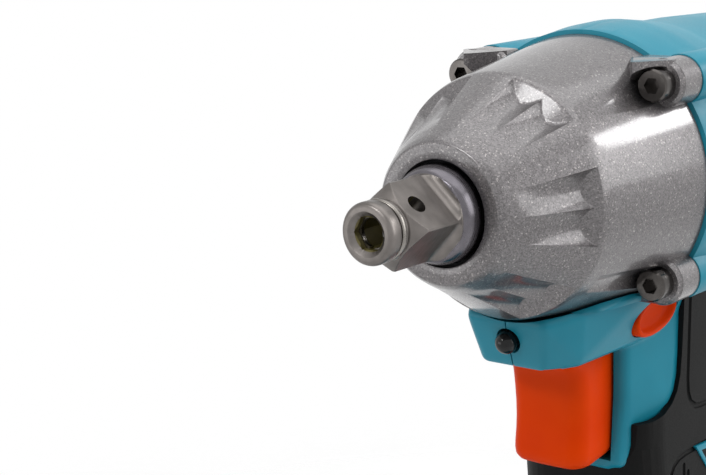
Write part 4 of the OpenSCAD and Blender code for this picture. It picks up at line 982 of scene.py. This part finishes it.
def makeFloor():
    # a round pale floor that fades out, so no edge of it shows
    reach, rings, sides = studio["floorReach"], studio["floorRings"], studio["floorSides"]
    vertices, faces = [(0, 0, 0)], []
    for r in range(1, rings + 1):
        vertices += [(reach * r / rings * math.cos(2 * math.pi * k / sides),
                      reach * r / rings * math.sin(2 * math.pi * k / sides), 0) for k in range(sides)]
    for k in range(sides):
        n = (k + 1) % sides
        faces.append((0, 1 + k, 1 + n))
        faces += [(1 + (r - 1) * sides + k, 1 + r * sides + k, 1 + r * sides + n, 1 + (r - 1) * sides + n)
                  for r in range(1, rings)]
    material, tree, place = newMaterial("paleFloor")
    fine = addNode(tree, "ShaderNodeTexNoise", {"Vector": place, "Scale": 1 / (40 * mm), "Detail": 2})
    tint = addNode(tree, "ShaderNodeValToRGB", {"Fac": fine.outputs["Fac"]},
                   ((0.35, "#f2f2f2"), (0.65, "#f6f6f6")))
    away = addNode(tree, "ShaderNodeVectorMath", {0: place}, operation="LENGTH").outputs["Value"]
    fade = addNode(tree, "ShaderNodeMapRange",
                   {"Value": away, "From Min": studio["fadeFrom"], "From Max": studio["fadeTo"],
                    "To Min": 1.0, "To Max": 0.0}, interpolation_type="SMOOTHSTEP")
    surface = addNode(tree, "ShaderNodeBsdfPrincipled", {
        "Base Color": tint.outputs[0], "Roughness": 0.85, "Alpha": fade.outputs[0]})
    addNode(tree, "ShaderNodeOutputMaterial", {"Surface": surface.outputs[0]})
    floor = meshPiece("studioFloor", vertices, faces, material)


def makeWorld():
    # white to the eye and in reflections, and a softer gradient as the light that falls on the tool
    world = bpy.data.worlds.new("studio")
    bpy.context.scene.world = world
    world.use_nodes = True
    tree = world.node_tree
    tree.nodes.clear()
    paths = addNode(tree, "ShaderNodeLightPath").outputs
    seen = addNode(tree, "ShaderNodeMath", {0: paths["Is Camera Ray"], 1: paths["Is Glossy Ray"]},
                   operation="MAXIMUM")
    seen = addNode(tree, "ShaderNodeMath", {0: seen.outputs[0], 1: paths["Is Transmission Ray"]},
                   operation="MAXIMUM")
    toward = addNode(tree, "ShaderNodeTexCoord").outputs["Generated"]
    rise = addNode(tree, "ShaderNodeSeparateXYZ", {0: toward}).outputs["Z"]
    soft = addNode(tree, "ShaderNodeMapRange", {
        "Value": rise, "From Min": -0.5, "From Max": 0.9, "To Min": studio["below"],
        "To Max": studio["above"]})
    level = addNode(tree, "ShaderNodeMix", {0: seen.outputs[0], 2: soft.outputs[0], 3: 1.0},
                    data_type="FLOAT")
    back = addNode(tree, "ShaderNodeBackground", {"Color": (1, 1, 1, 1), "Strength": level.outputs[0]})
    addNode(tree, "ShaderNodeOutputWorld", {"Surface": back.outputs[0]})


def makeSoftboxes():
    aim = Vector(studio["aim"])
    for name, (direction, away, width, height, glow) in studio["softboxes"].items():
        data = bpy.data.lights.new(name, "AREA")
        data.shape = "RECTANGLE"
        data.size, data.size_y, data.energy = width, height, glow * width * height * math.pi
        softbox = addObject(name, data)
        softbox.location = aim + Vector(direction).normalized() * away
        softbox.rotation_mode = "QUATERNION"
        softbox.rotation_quaternion = (aim - softbox.location).to_track_quat("-Z", "Y")


def makeCamera():
    data = bpy.data.cameras.new("viewCamera")
    data.lens, data.sensor_width = studio["lens"], studio["sensor"]
    data.clip_start, data.clip_end = 0.01, 20
    camera = addObject("viewCamera", data)
    turn, rise, roll = [math.radians(studio[name]) for name in ("turn", "rise", "roll")]
    back = Vector((math.sin(turn) * math.cos(rise), -math.cos(turn) * math.cos(rise), math.sin(rise)))
    right = Vector((math.cos(turn), math.sin(turn), 0))
    up = back.cross(right)
    rolledRight = math.cos(roll) * right + math.sin(roll) * up
    rolledUp = -math.sin(roll) * right + math.cos(roll) * up
    axes = Matrix((rolledRight, rolledUp, back)).transposed().to_4x4()
    camera.matrix_world = Matrix.Translation(studio["place"]) @ axes
    bpy.context.scene.camera = camera


makeFloor()
makeWorld()
makeSoftboxes()
makeCamera()
bpy.context.scene.view_settings.view_transform = "Standard"
print("studio made")
